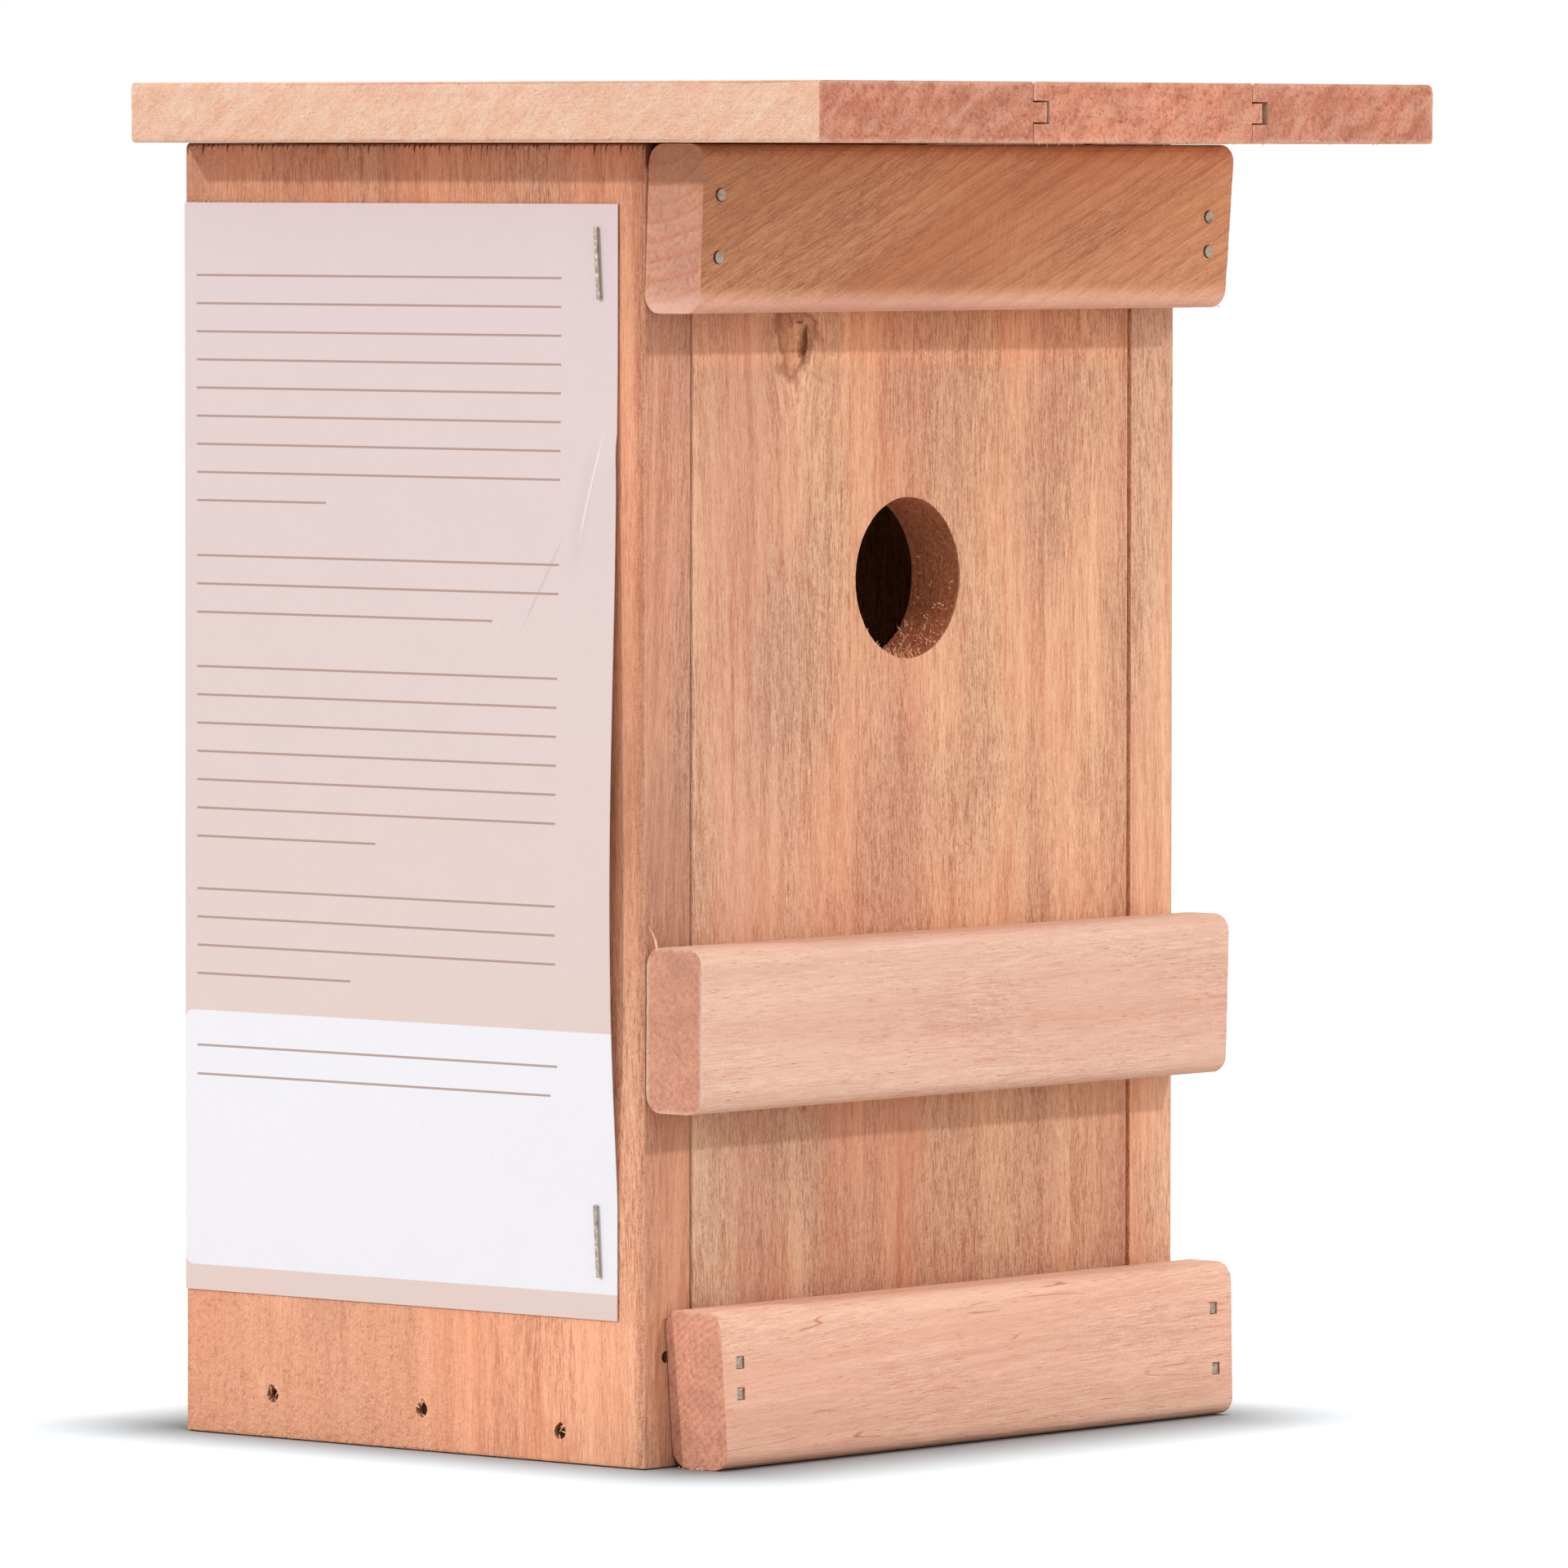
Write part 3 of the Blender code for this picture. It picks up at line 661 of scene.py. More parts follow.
def turned(place, angles, pith=(0, 0, 0)):
    """Return places turned by an Euler rotation, then moved."""
    inputs = {"Vector": place, "Rotation": angles, "Location": pith}
    return Field(add_node(place.tree, "ShaderNodeMapping", inputs).outputs[0])


def toned(colour, value, low, high, *stops):
    """Return the colour times a tone that follows a value by stops (share, tone)."""
    ramp = add_node(colour.tree, "ShaderNodeValToRGB", {0: spread(value, low, high)})
    elements = ramp.color_ramp.elements
    for element, (share, tone) in zip(elements, (stops[0], stops[-1])):
        element.position = share
        element.color = (tone, tone, tone, 1)
    for share, tone in stops[1:-1]:
        elements.new(share).color = (tone, tone, tone, 1)
    return colour * Field(ramp.outputs[0])


def solid(colour):
    """Return a colour with full alpha."""
    return (*colour, 1.0)


def stained(colour, mask, strength, stain):
    """Return a colour that takes a stain where a mask is, up to a strength."""
    return mix(mask * strength, colour, solid(stain))


def tinted(colour, factors):
    """Return a linear colour times a factor for each of its parts, kept below white."""
    return tuple(min(1, value * factor) for value, factor in zip(colour, factors))


def new_group(name, inputs, outputs):
    """Start a node group, and return its inputs as fields, and its output's sockets."""
    group = bpy.data.node_groups.new(name, "ShaderNodeTree")
    for label, kind, value in inputs:
        socket = group.interface.new_socket(name=label, in_out="INPUT", socket_type=kind)
        if value is not None:
            socket.default_value = value
    for label, kind in outputs:
        group.interface.new_socket(name=label, in_out="OUTPUT", socket_type=kind)
    source = group.nodes.new("NodeGroupInput").outputs
    result = group.nodes.new("NodeGroupOutput").inputs
    return {label: Field(source[label]) for label, _, _ in inputs}, result


def use_group(name, inputs):
    """Place a shared group in a material with its own values, and return its outputs."""
    node = tree_of(inputs.values()).nodes.new("ShaderNodeGroup")
    node.node_tree = bpy.data.node_groups[name]
    fill_inputs(node, inputs)
    return {output.name: Field(output) for output in node.outputs}


def timber_group():
    """Build the group that grows timber: bands, rings, fibres, flecks, cracks and sawn ends."""
    inputs = (("Vector", VECTOR, None), ("End", NUMBER, 0.0), *TIMBER_INPUTS)
    outputs = (("Color", COLOUR), ("Height", NUMBER), ("Roughness", NUMBER))
    given, result = new_group("solid timber", inputs, outputs)
    place = given["Vector"]
    wander = noise(place, (12, 12, 3), output="Color") - (0.5, 0.5, 0.5)
    grown = place + wander * (0.012, 0.012, 0)

    # Wide bands and patches, rings about the pith, and lines and grit along the grain
    narrow = 1.0 / given["Band Width"]
    banding = grown * join_axes(narrow, narrow, narrow * 0.06)
    band = spread(noise(banding, (1, 1, 1), 2.5), 0.38, 0.62)
    patch = spread(noise(place, (55, 55, 16), 2.0), 0.4, 0.62)
    rings = length(grown * (1, 1, 0)) / given["Ring Width"] + noise(place, (70, 70, 3))
    ring = calculate("POWER", calculate("FRACT", rings), 4.0) * given["Ring Strength"]
    streak = centred_noise(grown, (420, 420, 12), 4.0, 0.55)
    fibre = centred_noise(grown, (3700, 3700, 180), 3.0, 0.65)
    grit = centred_noise(place, (5600, 5600, 1500), 2.0)
    pebble = centred_noise(place, (1100, 1100, 650), 3.0, 0.6)

    # Short dark flecks
    across = 1.0 / given["Fleck Size"]
    cell = grown * join_axes(across, across, across * 0.11)
    inputs = {"Vector": cell, "Scale": 1.0, "Randomness": 1.0}
    spots = add_node(place.tree, "ShaderNodeTexVoronoi", inputs).outputs
    kept = add_node(place.tree, "ShaderNodeSeparateColor", {0: Field(spots["Color"])}).outputs[0]
    fleck = spread(Field(spots["Distance"]), 0.3, 0.12) * spread(Field(kept), 0.55, 0.95)

    # Broken hairline cracks
    contour = abs(centred_noise(grown, (260, 260, 16), 2.0, 0.4))
    broken = spread(noise(place, (180, 180, 60), 2.0), 0.54, 0.62)
    crack = spread(contour, 0.05, 0.01) * broken * given["Crack Strength"]
    lines = larger(fleck * given["Fleck Strength"], crack)

    coarse = streak * given["Streak Strength"]
    lively = given["Fibre Strength"] * times_plus(patch, 0.8, 0.6)
    fine = times_plus(grit, 0.5, fibre) * lively
    bumpy = pebble * patch * given["Pebble Strength"]
    change = coarse + fine + bumpy
    colour = mix(band, given["Rosy"], given["Pale"])
    colour = mix(ring, colour, given["Dark"])
    colour = mix(spread(change, 0.2, -0.85, 0.0, 0.9), colour, given["Dark"])
    colour = brighten(colour, times_plus(change, 0.2, 1.0))
    colour = mix(patch * (given["Pebble Strength"] * 0.5), colour, solid(timber_bloom))
    colour = mix(lines, colour, given["Dark"])

    # The sawn ends, mottled and pitted
    mottle = centred_noise(place, (170, 170, 170), 3.0)
    speckle = times_plus(mottle, 0.17, pebble * 0.16 + grit * 0.14)
    end = brighten(given["End Colour"], speckle + 1.0)
    end = mix(ring * 1.3, end, given["Dark"])
    end = mix(spread(pebble, -0.1, -0.8, 0.0, 0.75), end, given["Dark"])
    end = mix(spread(grit, 0.4, 0.9, 0.0, 0.65), end, given["Pale"])
    mix(given["End"], colour, end).into(result["Color"])

    height = times_plus(bumpy, 1.6, fine + coarse * 0.6) - lines * 0.6
    pitted = pebble + grit * 0.5
    times_plus(pitted - height, given["End"], height).into(result["Height"])
    dull = times_plus(fibre, 0.08, 0.66)
    times_plus(given["End"], 0.14, dull).into(result["Roughness"])


def edge_group():
    """Build the group that marks a board's surface near its edges, and how deep a hollow lies."""
    corners = (("Vector", VECTOR, None), ("Low", VECTOR, None), ("High", VECTOR, None))
    inputs = (*corners, ("Width", NUMBER, 0.001))
    given, result = new_group("near an edge", inputs, (("Mask", NUMBER), ("Depth", NUMBER)))
    place = given["Vector"]
    x, y, z = split_axes(smaller(place - given["Low"], given["High"] - place))
    least = smaller(x, y)
    middle = larger(least, smaller(larger(x, y), z))
    ragged = times_plus(noise(place, (900, 900, 900), 3.0) - 0.5, -2.4, 1.0)
    share = middle / larger(given["Width"] * ragged, 0.00001)
    spread(share, 1.0, 0.35).into(result["Mask"])
    smaller(least, z).into(result["Depth"])


def saw_group():
    """Build the group that draws the scratches of a saw, which run across the vector's x."""
    inputs = (("Vector", VECTOR, None), ("Pitch", NUMBER, 0.0006), ("Reach", NUMBER, 0.012))
    given, result = new_group("saw marks", inputs, (("Mask", NUMBER),))
    along = 1.0 / given["Reach"]
    cells = join_axes(1.0 / given["Pitch"], along, along)
    spread(noise(given["Vector"], cells), 0.42, 0.66).into(result["Mask"])


def ruled_group():
    """Build the group that draws one block of ruled lines, the last of them short."""
    names = ("Across", "Height", "Top", "Rows", "Pitch", "Start", "End", "Last End")
    values = (0.0, 0.0, 0.0, 1.0, 0.005, 0.0, 1.0, 0.0)
    inputs = [(name, NUMBER, value) for name, value in zip(names, values)]
    given, result = new_group("ruled lines", inputs, (("Mask", NUMBER),))
    across = given["Across"]
    row = (given["Top"] - given["Height"]) / given["Pitch"] + 0.5
    number = calculate("FLOOR", row)
    last = calculate("GREATER_THAN", number, given["Rows"] - 1.5)
    low = times_plus(last, given["Last End"] - given["End"], given["End"])
    line = spread(abs(calculate("FRACT", row) - 0.5), 0.05, 0.03)
    line = line * calculate("GREATER_THAN", number, -0.5)
    line = line * calculate("LESS_THAN", number, given["Rows"] - 0.5)
    line = line * calculate("LESS_THAN", across, given["Start"])
    line = line * calculate("GREATER_THAN", across, low)
    line.into(result["Mask"])


class Surface:
    """A new material, with its shader's inputs and the places and normals on the surface."""

    def __init__(self, name, roughness=0.6, metallic=0.0, shine=0.3):
        self.material = bpy.data.materials.new(name)
        self.material.use_nodes = True
        self.tree = self.material.node_tree
        self.inputs = self.tree.nodes["Principled BSDF"].inputs
        self.inputs["Roughness"].default_value = roughness
        self.inputs["Metallic"].default_value = metallic
        self.inputs["Specular IOR Level"].default_value = shine
        coordinates = add_node(self.tree, "ShaderNodeTexCoord").outputs
        self.place = Field(coordinates["Object"])
        self.normal = Field(coordinates["Normal"])

    def paint(self, colour):
        """Give the surface its colour."""
        colour.into(self.inputs["Base Color"])

    def emboss(self, height, distance):
        """Let a height shape the surface's small relief."""
        inputs = {"Height": height, "Distance": distance, "Strength": 1.0}
        bump = add_node(self.tree, "ShaderNodeBump", inputs)
        self.tree.links.new(bump.outputs[0], self.inputs["Normal"])

    def end_mask(self, axis):
        """Return how much the surface faces along an axis."""
        return spread(abs(self.normal.dot(AXES[axis])), 0.6, 0.85)


def grain_vector(place, axis, pith, tilt):
    """Return coordinates whose z runs along the grain, about a pith line beside the board."""
    lean = Euler((math.radians(tilt[0]), math.radians(tilt[1]), 0)).to_matrix()
    return turned(place, (lean @ GRAIN_TURNS[axis]).to_euler(), pith)


def grow_timber(timber, vector, end):
    """Place the timber group in a material, with a timber's own values."""
    inputs = {"Vector": vector, "End": end}
    for (label, kind, _), value in zip(TIMBER_INPUTS, timber):
        inputs[label] = solid(value) if kind == COLOUR else value
    return use_group("solid timber", inputs)


def timber_surface(name, timber, axis, node, pith, tilt, worn=0.5 * mm, hollow=0.15 * mm):
    """Return a board's surface, colour and height, with edges worn by a width.

    Places deeper than the hollow, where it is given, turn dark with painted shade.
    """
    surface = Surface(name)
    vector = grain_vector(surface.place, axis, pith, tilt)
    grown = grow_timber(timber, vector, surface.end_mask(axis))
    low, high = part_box(node)
    inputs = {"Vector": surface.place, "Low": low, "High": high, "Width": worn}
    near = use_group("near an edge", inputs)
    colour = stained(grown["Color"], near["Mask"], 0.45, timber.pale)
    if hollow:
        # Painted shade: places deeper than the hollow, such as pits and notches, turn dark
        sunk = spread(near["Depth"], hollow, hollow + 0.7 * mm, 0.0, 0.75)
        colour = mix(sunk, colour, solid(recess_shade))
    grown["Roughness"].into(surface.inputs["Roughness"])
    return surface, colour, grown["Height"]


def timbers(wood):
    """Return the timbers of the box by name."""
    poplar = (wood.poplar_pale, wood.poplar_rosy, wood.poplar_dark, wood.poplar_end)
    front = (wood.front_pale, wood.front_rosy, wood.front_dark, wood.poplar_end)
    roof = (wood.roof_pale, wood.roof_rosy, wood.poplar_dark, wood.roof_end)
    beech = (wood.beech_pale, wood.beech_rosy, wood.beech_dark, wood.beech_end)
    brown = (wood.brown_pale, wood.brown_rosy, wood.beech_dark, wood.beech_end)
    return {
        "body": Timber(*poplar, 24 * mm, 5.5 * mm, 0.12, 0.28, 0.62, 0.15, 0.45 * mm, 0.1, 0.3),
        "front": Timber(*front, 17 * mm, 4.2 * mm, 0.16, 0.42, 0.95, 0.15, 0.45 * mm, 0.15, 0.35),
        "roof": Timber(*roof, 30 * mm, 5.0 * mm, 0.2, 0.16, 0.6, 0.15, 0.5 * mm, 0.1, 0.2),
        "beech": Timber(*beech, 16 * mm, 2.4 * mm, 0.1, 0.12, 0.3, 0.7, 0.4 * mm, 0.3, 0.0),
        "cracked": Timber(*beech, 16 * mm, 2.2 * mm, 0.14, 0.14, 0.3, 0.6, 0.4 * mm, 0.8, 0.0),
        "brown": Timber(*brown, 26 * mm, 3.0 * mm, 0.55, 0.26, 0.7, 0.2, 0.5 * mm, 0.1, 0.1),
    }


def side_board(side, x, shape, rng):
    """Make one side panel with a torn top edge, a chipped foot and pits at its nails."""
    node = f"{side}_side_panel"
    board = copy_board(node, f"{side}_side_board")
    seat_board(board, shape.roof_seat)
    low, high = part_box(node)
    face = low.x if x < 0 else high.x
    for z, along, count, longest in (
        (high.z, -UP, 90, shape.torn_edge),
        (low.z, UP, 60, shape.chipped_edge),
    ):
        start, end = Vector((face, low.y, z)), Vector((face, high.y, z))
        tear_edge(board, start, end, Vector((-x, 0, 0)), along, count, longest, rng)
    for number in (1, 2, 3):
        nail_low, nail_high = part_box(f"{side}_floor_nail_{number}")
        middle = (nail_low + nail_high) / 2
        y = middle.y + rng.uniform(-0.3, 0.3) * mm
        z = middle.z + rng.uniform(0.3, 0.9) * mm
        size = (1.0 * mm, rng.uniform(0.6, 0.8) * mm, rng.uniform(1.0, 1.4) * mm)
        carve(board, pit_cutter(Vector((face, y, z)), size, rng))
    return board


def side_material(side, x, timber):
    """Return a side panel's material, darker under the roof, torn at its top, front and foot, with
    painted shade in its notches and, on the left, the leaflet's painted shadow.
    """
    node = f"{side}_side_panel"
    pith, tilt = (0.05 * x, -0.02, 0.1 * x), (1.5, 2 * x)
    surface, colour, height = timber_surface(f"{side} side poplar", timber, "Z", node, pith, tilt)
    low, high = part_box(node)
    place = surface.place
    along_x, along_y, along_z = split_axes(place)

    # Where the saw tore the wood: the front corner, the foot and the back corner
    forward = surface.normal.dot((0, -1, 0))
    corner = spread(along_y, low.y + 3.5 * mm, low.y) * spread(forward, 0.7, 0.4)
    uneven = noise(place, (60, 60, 60), 2.0) - 0.5
    foot = spread(times_plus(uneven, 60 * mm, along_z), 42 * mm, 20 * mm)
    sideways = abs(surface.normal.dot((1, 0, 0)))
    back = spread(along_y, high.y - 12 * mm, high.y - 5 * mm) * spread(sideways, 0.5, 0.8)
    torn_foot = larger(foot * spread(along_y, 2 * mm, 30 * mm), back)
    tears = centred_noise(place, (1150, 1150, 950), 4.0, 0.66)
    torn = larger(corner, torn_foot) * tears
    plain = mix(spread(tears, -1.0, 1.0), solid(timber.rosy), solid(timber.pale))
    colour = mix(torn_foot * 0.5, colour, plain * (1.24, 1.17, 1.22))
    colour = mix(spread(torn, -0.2, -1.2, 0.0, 0.6), colour, solid(timber.dark))

    # Tones by height, with the front edge's own; the left side is darkest at mid height, a painted
    # shadow of the bowed leaflet
    if x < 0:
        stops = ((0.0, 1.0), (0.25, 0.97), (0.5, 0.7), (0.75, 0.86), (0.94, 0.74))
        colour = toned(colour, along_z, low.z, high.z, *stops)
        stops = ((0.0, 0.77), (0.4, 0.8), (0.55, 1.06), (1.0, 1.0))
        edge = toned(colour, along_z, low.z, high.z, *stops)
        upper = spread(along_z, 60 * mm, 130 * mm)
        edge = mix(upper, edge * (0.92, 0.94, 0.96), edge * (0.92, 1.02, 1.12))
    else:
        colour = toned(colour, along_z, low.z, high.z, (0.0, 1.0), (1.0, 0.94))
        edge = colour * (0.95, 1.07, 1.11)
    colour = mix(spread(forward, 0.6, 0.9), colour, edge)

    # Painted shade in the hollows of the torn notches under the roof
    depth = abs(along_x - (low.x if x < 0 else high.x))
    # Painted shade: the notches' hollows are darkened
    notch = spread(depth, 0.04 * mm, 0.3 * mm) * spread(along_z, high.z - 5 * mm, high.z - 3.5 * mm)
    notch = notch * spread(along_y, high.y - 0.2 * mm, high.y - 0.4 * mm)
    surface.paint(stained(colour, notch, 0.85, notch_shade))
    surface.emboss(times_plus(torn, 2.4, height), 0.14 * mm)
    return surface.material


class NESTBOX_OT_side_panels(bpy.types.Operator):
    """Tear the side panels' edges and give them their grain"""

    bl_idname = "nestbox.side_panels"
    bl_label = "Side panels"

    def execute(self, context):
        timber = timbers(context.scene.nest_box_wood)["body"]
        rng = random.Random(11)
        for side, x in (("left", -1), ("right", 1)):
            board = side_board(side, x, context.scene.nest_box_shape, rng)
            material = side_material(side, x, timber)
            finish_piece(board, material, "box", "poplar_body", f"{side}_side_panel")
        return {"FINISHED"}


class NESTBOX_OT_back_and_floor(bpy.types.Operator):
    """Give the back panel and the floor their grain"""

    bl_idname = "nestbox.back_and_floor"
    bl_label = "Back and floor"

    def execute(self, context):
        shape = context.scene.nest_box_shape
        timber = timbers(context.scene.nest_box_wood)["body"]
        rng = random.Random(23)
        low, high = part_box("back_panel")
        back = copy_board("back_panel", "back_board")
        seat_board(back, shape.roof_seat)
        start, end = Vector((low.x, high.y, low.z)), Vector((high.x, high.y, low.z))
        tear_edge(back, start, end, Vector((0, -1, 0)), UP, 70, shape.chipped_edge, rng)
        floor = copy_board("floor_panel", "floor_board")
        for board, name, axis, node, pith, tilt in (
            (back, "back poplar", "Z", "back_panel", (0.01, -0.11, 0.3), (2, 1)),
            (floor, "floor poplar", "X", "floor_panel", (0.03, 0.04, 0), (1, 1)),
        ):
            surface, colour, height = timber_surface(name, timber, axis, node, pith, tilt)
            surface.paint(colour)
            surface.emboss(height, 0.12 * mm)
            finish_piece(board, surface.material, "box", "poplar_body", node)
        return {"FINISHED"}


def hole_cutter(shape):
    """Return a rough round cutter for the entrance hole's wall."""
    depth = front_high.y - front_low.y + 2 * mm
    middle = Vector((hole_centre.x, (front_low.y + front_high.y) / 2, hole_centre.z))
    bpy.ops.object.select_all(action="DESELECT")
    bpy.ops.mesh.primitive_cylinder_add(
        vertices=140, radius=hole_radius, depth=depth, location=middle,
        rotation=(math.radians(90), 0, 0),
    )
    cutter = bpy.context.object
    bpy.ops.object.transform_apply(location=True, rotation=True, scale=True)
    divide_edges(cutter, "y", depth / 2, 20)
    press_dents(cutter, 0.9 * mm, shape.hole_relief)
    return cutter


def front_material(timber):
    """Return the front panel's material, whose grain flows round a knot."""
    surface = Surface("front poplar")
    place = surface.place
    away = place - tuple(knot_centre)
    distance = length(away * (1, 0, 0.7))
    reach = distance / (8.5 * mm)
    pull = calculate("EXPONENT", reach * reach * -1.0)
    bent = place + brighten(away * (-0.86, 0, 0), pull)
    vector = grain_vector(bent, "Z", (-0.004, 0.012, 0.02), (2.6, 0.6))
    grown = grow_timber(timber, vector, surface.end_mask("Z"))
    along_x, along_y, along_z = split_axes(place)

    # Tones by height, a cooler left side, and a warmer, lighter strip painted into the top slat's
    # shadow
    stops = ((0.0, 0.9), (0.22, 0.9), (0.4, 1.0), (1.0, 0.97))
    colour = toned(grown["Color"], along_z, front_low.z, front_high.z, *stops)
    beside = spread(along_x, front_low.x + 42 * mm, front_low.x + 14 * mm)
    colour = mix(beside, colour, colour * (0.98, 1.12, 1.2))
    # Painted shade: a warm tint where the top slat's shadow falls on the panel
    slat_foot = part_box("top_slat")[0].z
    slat_shadow_warmth = spread(along_z, slat_foot - 11 * mm, slat_foot - 8 * mm)
    colour = mix(slat_shadow_warmth, colour, colour * (1.12, 1.05, 0.98))

    # The knot: a pale curled core, a dark rim, sunk pits darkened with painted shade and a scar
    # beside them
    uneven = noise(place, (260, 260, 260), 3.0) - 0.5
    wavy = times_plus(uneven, 9 * mm, distance)
    core = spread(wavy, 4.6 * mm, 3.2 * mm)
    curls = calculate("FRACT", wavy / (1.5 * mm))
    rim = spread(wavy, 6.2 * mm, 4.4 * mm) * spread(wavy, 2.6 * mm, 4.0 * mm)
    sunk = spread(along_y, front_low.y + 0.05 * mm, front_low.y + 0.45 * mm)
    colour = stained(colour, core, 0.5, knot_core)
    colour = stained(colour, rim, 0.7, knot_rim)
    colour = stained(colour, core * curls, 0.3, timber.dark)
    # Painted shade in the knot's sunk pits
    colour = stained(colour, spread(distance, 9 * mm, 6 * mm) * sunk, 0.8, knot_pit)
    ragged = centred_noise(place, (900, 900, 520), 4.0, 0.7)
    aside = length((away - (1.9 * mm, 0, -0.4 * mm)) * (1, 0, 0.42))
    scar = spread(times_plus(ragged, 0.9 * mm, aside), 2.1 * mm, 0.9 * mm, 0.0, 0.8)
    colour = mix(scar, colour, solid(knot_scar))
    fleck = core * spread(ragged, -0.1, -0.8, 0.0, 0.75)
    colour = mix(fleck, colour, solid(knot_fleck))

    # The fuzzy wall of the entrance hole
    from_axis = length((place - tuple(hole_centre)) * (1, 0, 1))
    inside = spread(from_axis, 14.9 * mm, 14.5 * mm) * sunk
    fuzz = spread(noise(place, (1500, 1500, 1500), 3.0, 0.65), 0.38, 0.64)
    wall = mix(fuzz, solid(hole_dark), solid(hole_pale))
    surface.paint(mix(inside * 0.92, colour, wall))
    grown["Roughness"].into(surface.inputs["Roughness"])
    surface.emboss(times_plus(core, curls, grown["Height"]), 0.12 * mm)
    return surface.material


class NESTBOX_OT_front_panel(bpy.types.Operator):
    """Roughen the entrance hole, open the knot and give the front panel its grain"""

    bl_idname = "nestbox.front_panel"
    bl_label = "Front panel"

    def execute(self, context):
        rng = random.Random(5)
        board = copy_board("front_panel", "front_board")
        carve(board, hole_cutter(context.scene.nest_box_shape))
        for offset, size in knot_pits:
            centre = knot_centre + Vector(offset) * mm
            carve(board, pit_cutter(centre, tuple(value * mm for value in size), rng))
        material = front_material(timbers(context.scene.nest_box_wood)["front"])
        finish_piece(board, material, "front", "poplar_front", "front_panel")
        return {"FINISHED"}


def roof_material(side, timber, node, pith, tilt):
    """Return a roof board's material, with slanting figure on its long outer edges."""
    tone = {"left": 0.93, "middle": 1.15, "right": 0.99}[side]
    timber = timber._replace(end=tinted(timber.end, (tone, tone, tone)))
    name = f"roof {side} poplar"
    surface, colour, height = timber_surface(name, timber, "Y", node, pith, tilt, worn=0.9 * mm)
    place = surface.place

    # The long outer edges: slanting figure, wisps and small chips
    outer = spread(abs(surface.normal.dot(AXES["X"])), 0.7, 0.9)
    leaning = turned(place, Euler((math.radians(38), 0, 0)))
    figure = centred_noise(leaning, (200, 110, 340), 3.0, 0.5)
    wisps = centred_noise(leaning, (900, 420, 1500), 3.0, 0.65)
    figure = times_plus(figure, 0.5, wisps * 0.8)
    chips = centred_noise(leaning, (2600, 1300, 3600), 4.0, 0.7)
    soft = mix(spread(figure, -1.1, 1.1), solid(roof_edge_rosy), solid(roof_edge_pale))
    soft = mix(spread(chips, -0.15, -0.9, 0.0, 0.85), soft, solid(roof_edge_dark))
    soft = mix(spread(chips, 0.3, 1.0, 0.0, 0.6), soft, solid(roof_edge_light))
    colour = mix(outer * 0.85, colour, soft)

    # The sawn ends: slanting clouds, pores and light specks
    end = surface.end_mask("Y")
    grit = centred_noise(place, (2700, 800, 2700), 3.0, 0.7)
    slanting = turned(place, Euler((0, math.radians(35), 0)))
    cloud = centred_noise(slanting, (160, 60, 420), 3.0, 0.55)
    for field, low, high, most, stain in (
        (cloud, 0.0, 1.0, 0.65, roof_cloud_pale),
        (cloud, 0.0, -1.0, 0.6, roof_cloud_dark),
        (grit, -0.25, -1.1, 0.85, roof_pore),
        (grit, 0.3, 1.1, 0.8, roof_speck),
    ):
        colour = mix(end * spread(field, low, high, 0.0, most), colour, solid(stain))
    surface.paint(colour)
    relief = times_plus(outer, figure + chips, height)
    surface.emboss(times_plus(end * grit, 0.8, relief), 0.12 * mm)
    return surface.material


class NESTBOX_OT_roof_boards(bpy.types.Operator):
    """Roughen the roof boards' sawn ends and edges and give them their grain"""

    bl_idname = "nestbox.roof_boards"
    bl_label = "Roof boards"

    def execute(self, context):
        shape = context.scene.nest_box_shape
        timber = timbers(context.scene.nest_box_wood)["roof"]
        rng = random.Random(7)
        for side, outer, pith, tilt in (
            ("left", -1, (0.05, -0.16, 0), (1, 0)),
            ("middle", 0, (-0.02, -0.30, 0.2), (0, 1)),
            ("right", 1, (-0.075, -0.245, 0.1), (1, 1)),
        ):
            node = f"roof_board_{side}"
            board = copy_board(node, f"roof_{side}_board")
            low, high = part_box(node)
            start = Vector((low.x + 2 * mm, low.y, low.z))
            end = Vector((high.x - 5 * mm, low.y, low.z))
            tear_edge(board, start, end, Vector((0, 1, 0)), UP, 40, 0.6 * mm, rng)
            rough_end(board, "Y", -1, shape)
            rough_end(board, "Y", 1, shape)
            if outer:
                test = faces_towards(AXES["X"] * outer)
                divide_faces(board, test, shape.end_cell, ("Y", "Z"))
                roughen_faces(board, test, "X", -outer * shape.edge_relief, 4.5 * mm)
            material = roof_material(side, timber, node, pith, tilt)
            finish_piece(board, material, "box", "poplar_roof", node)
        return {"FINISHED"}


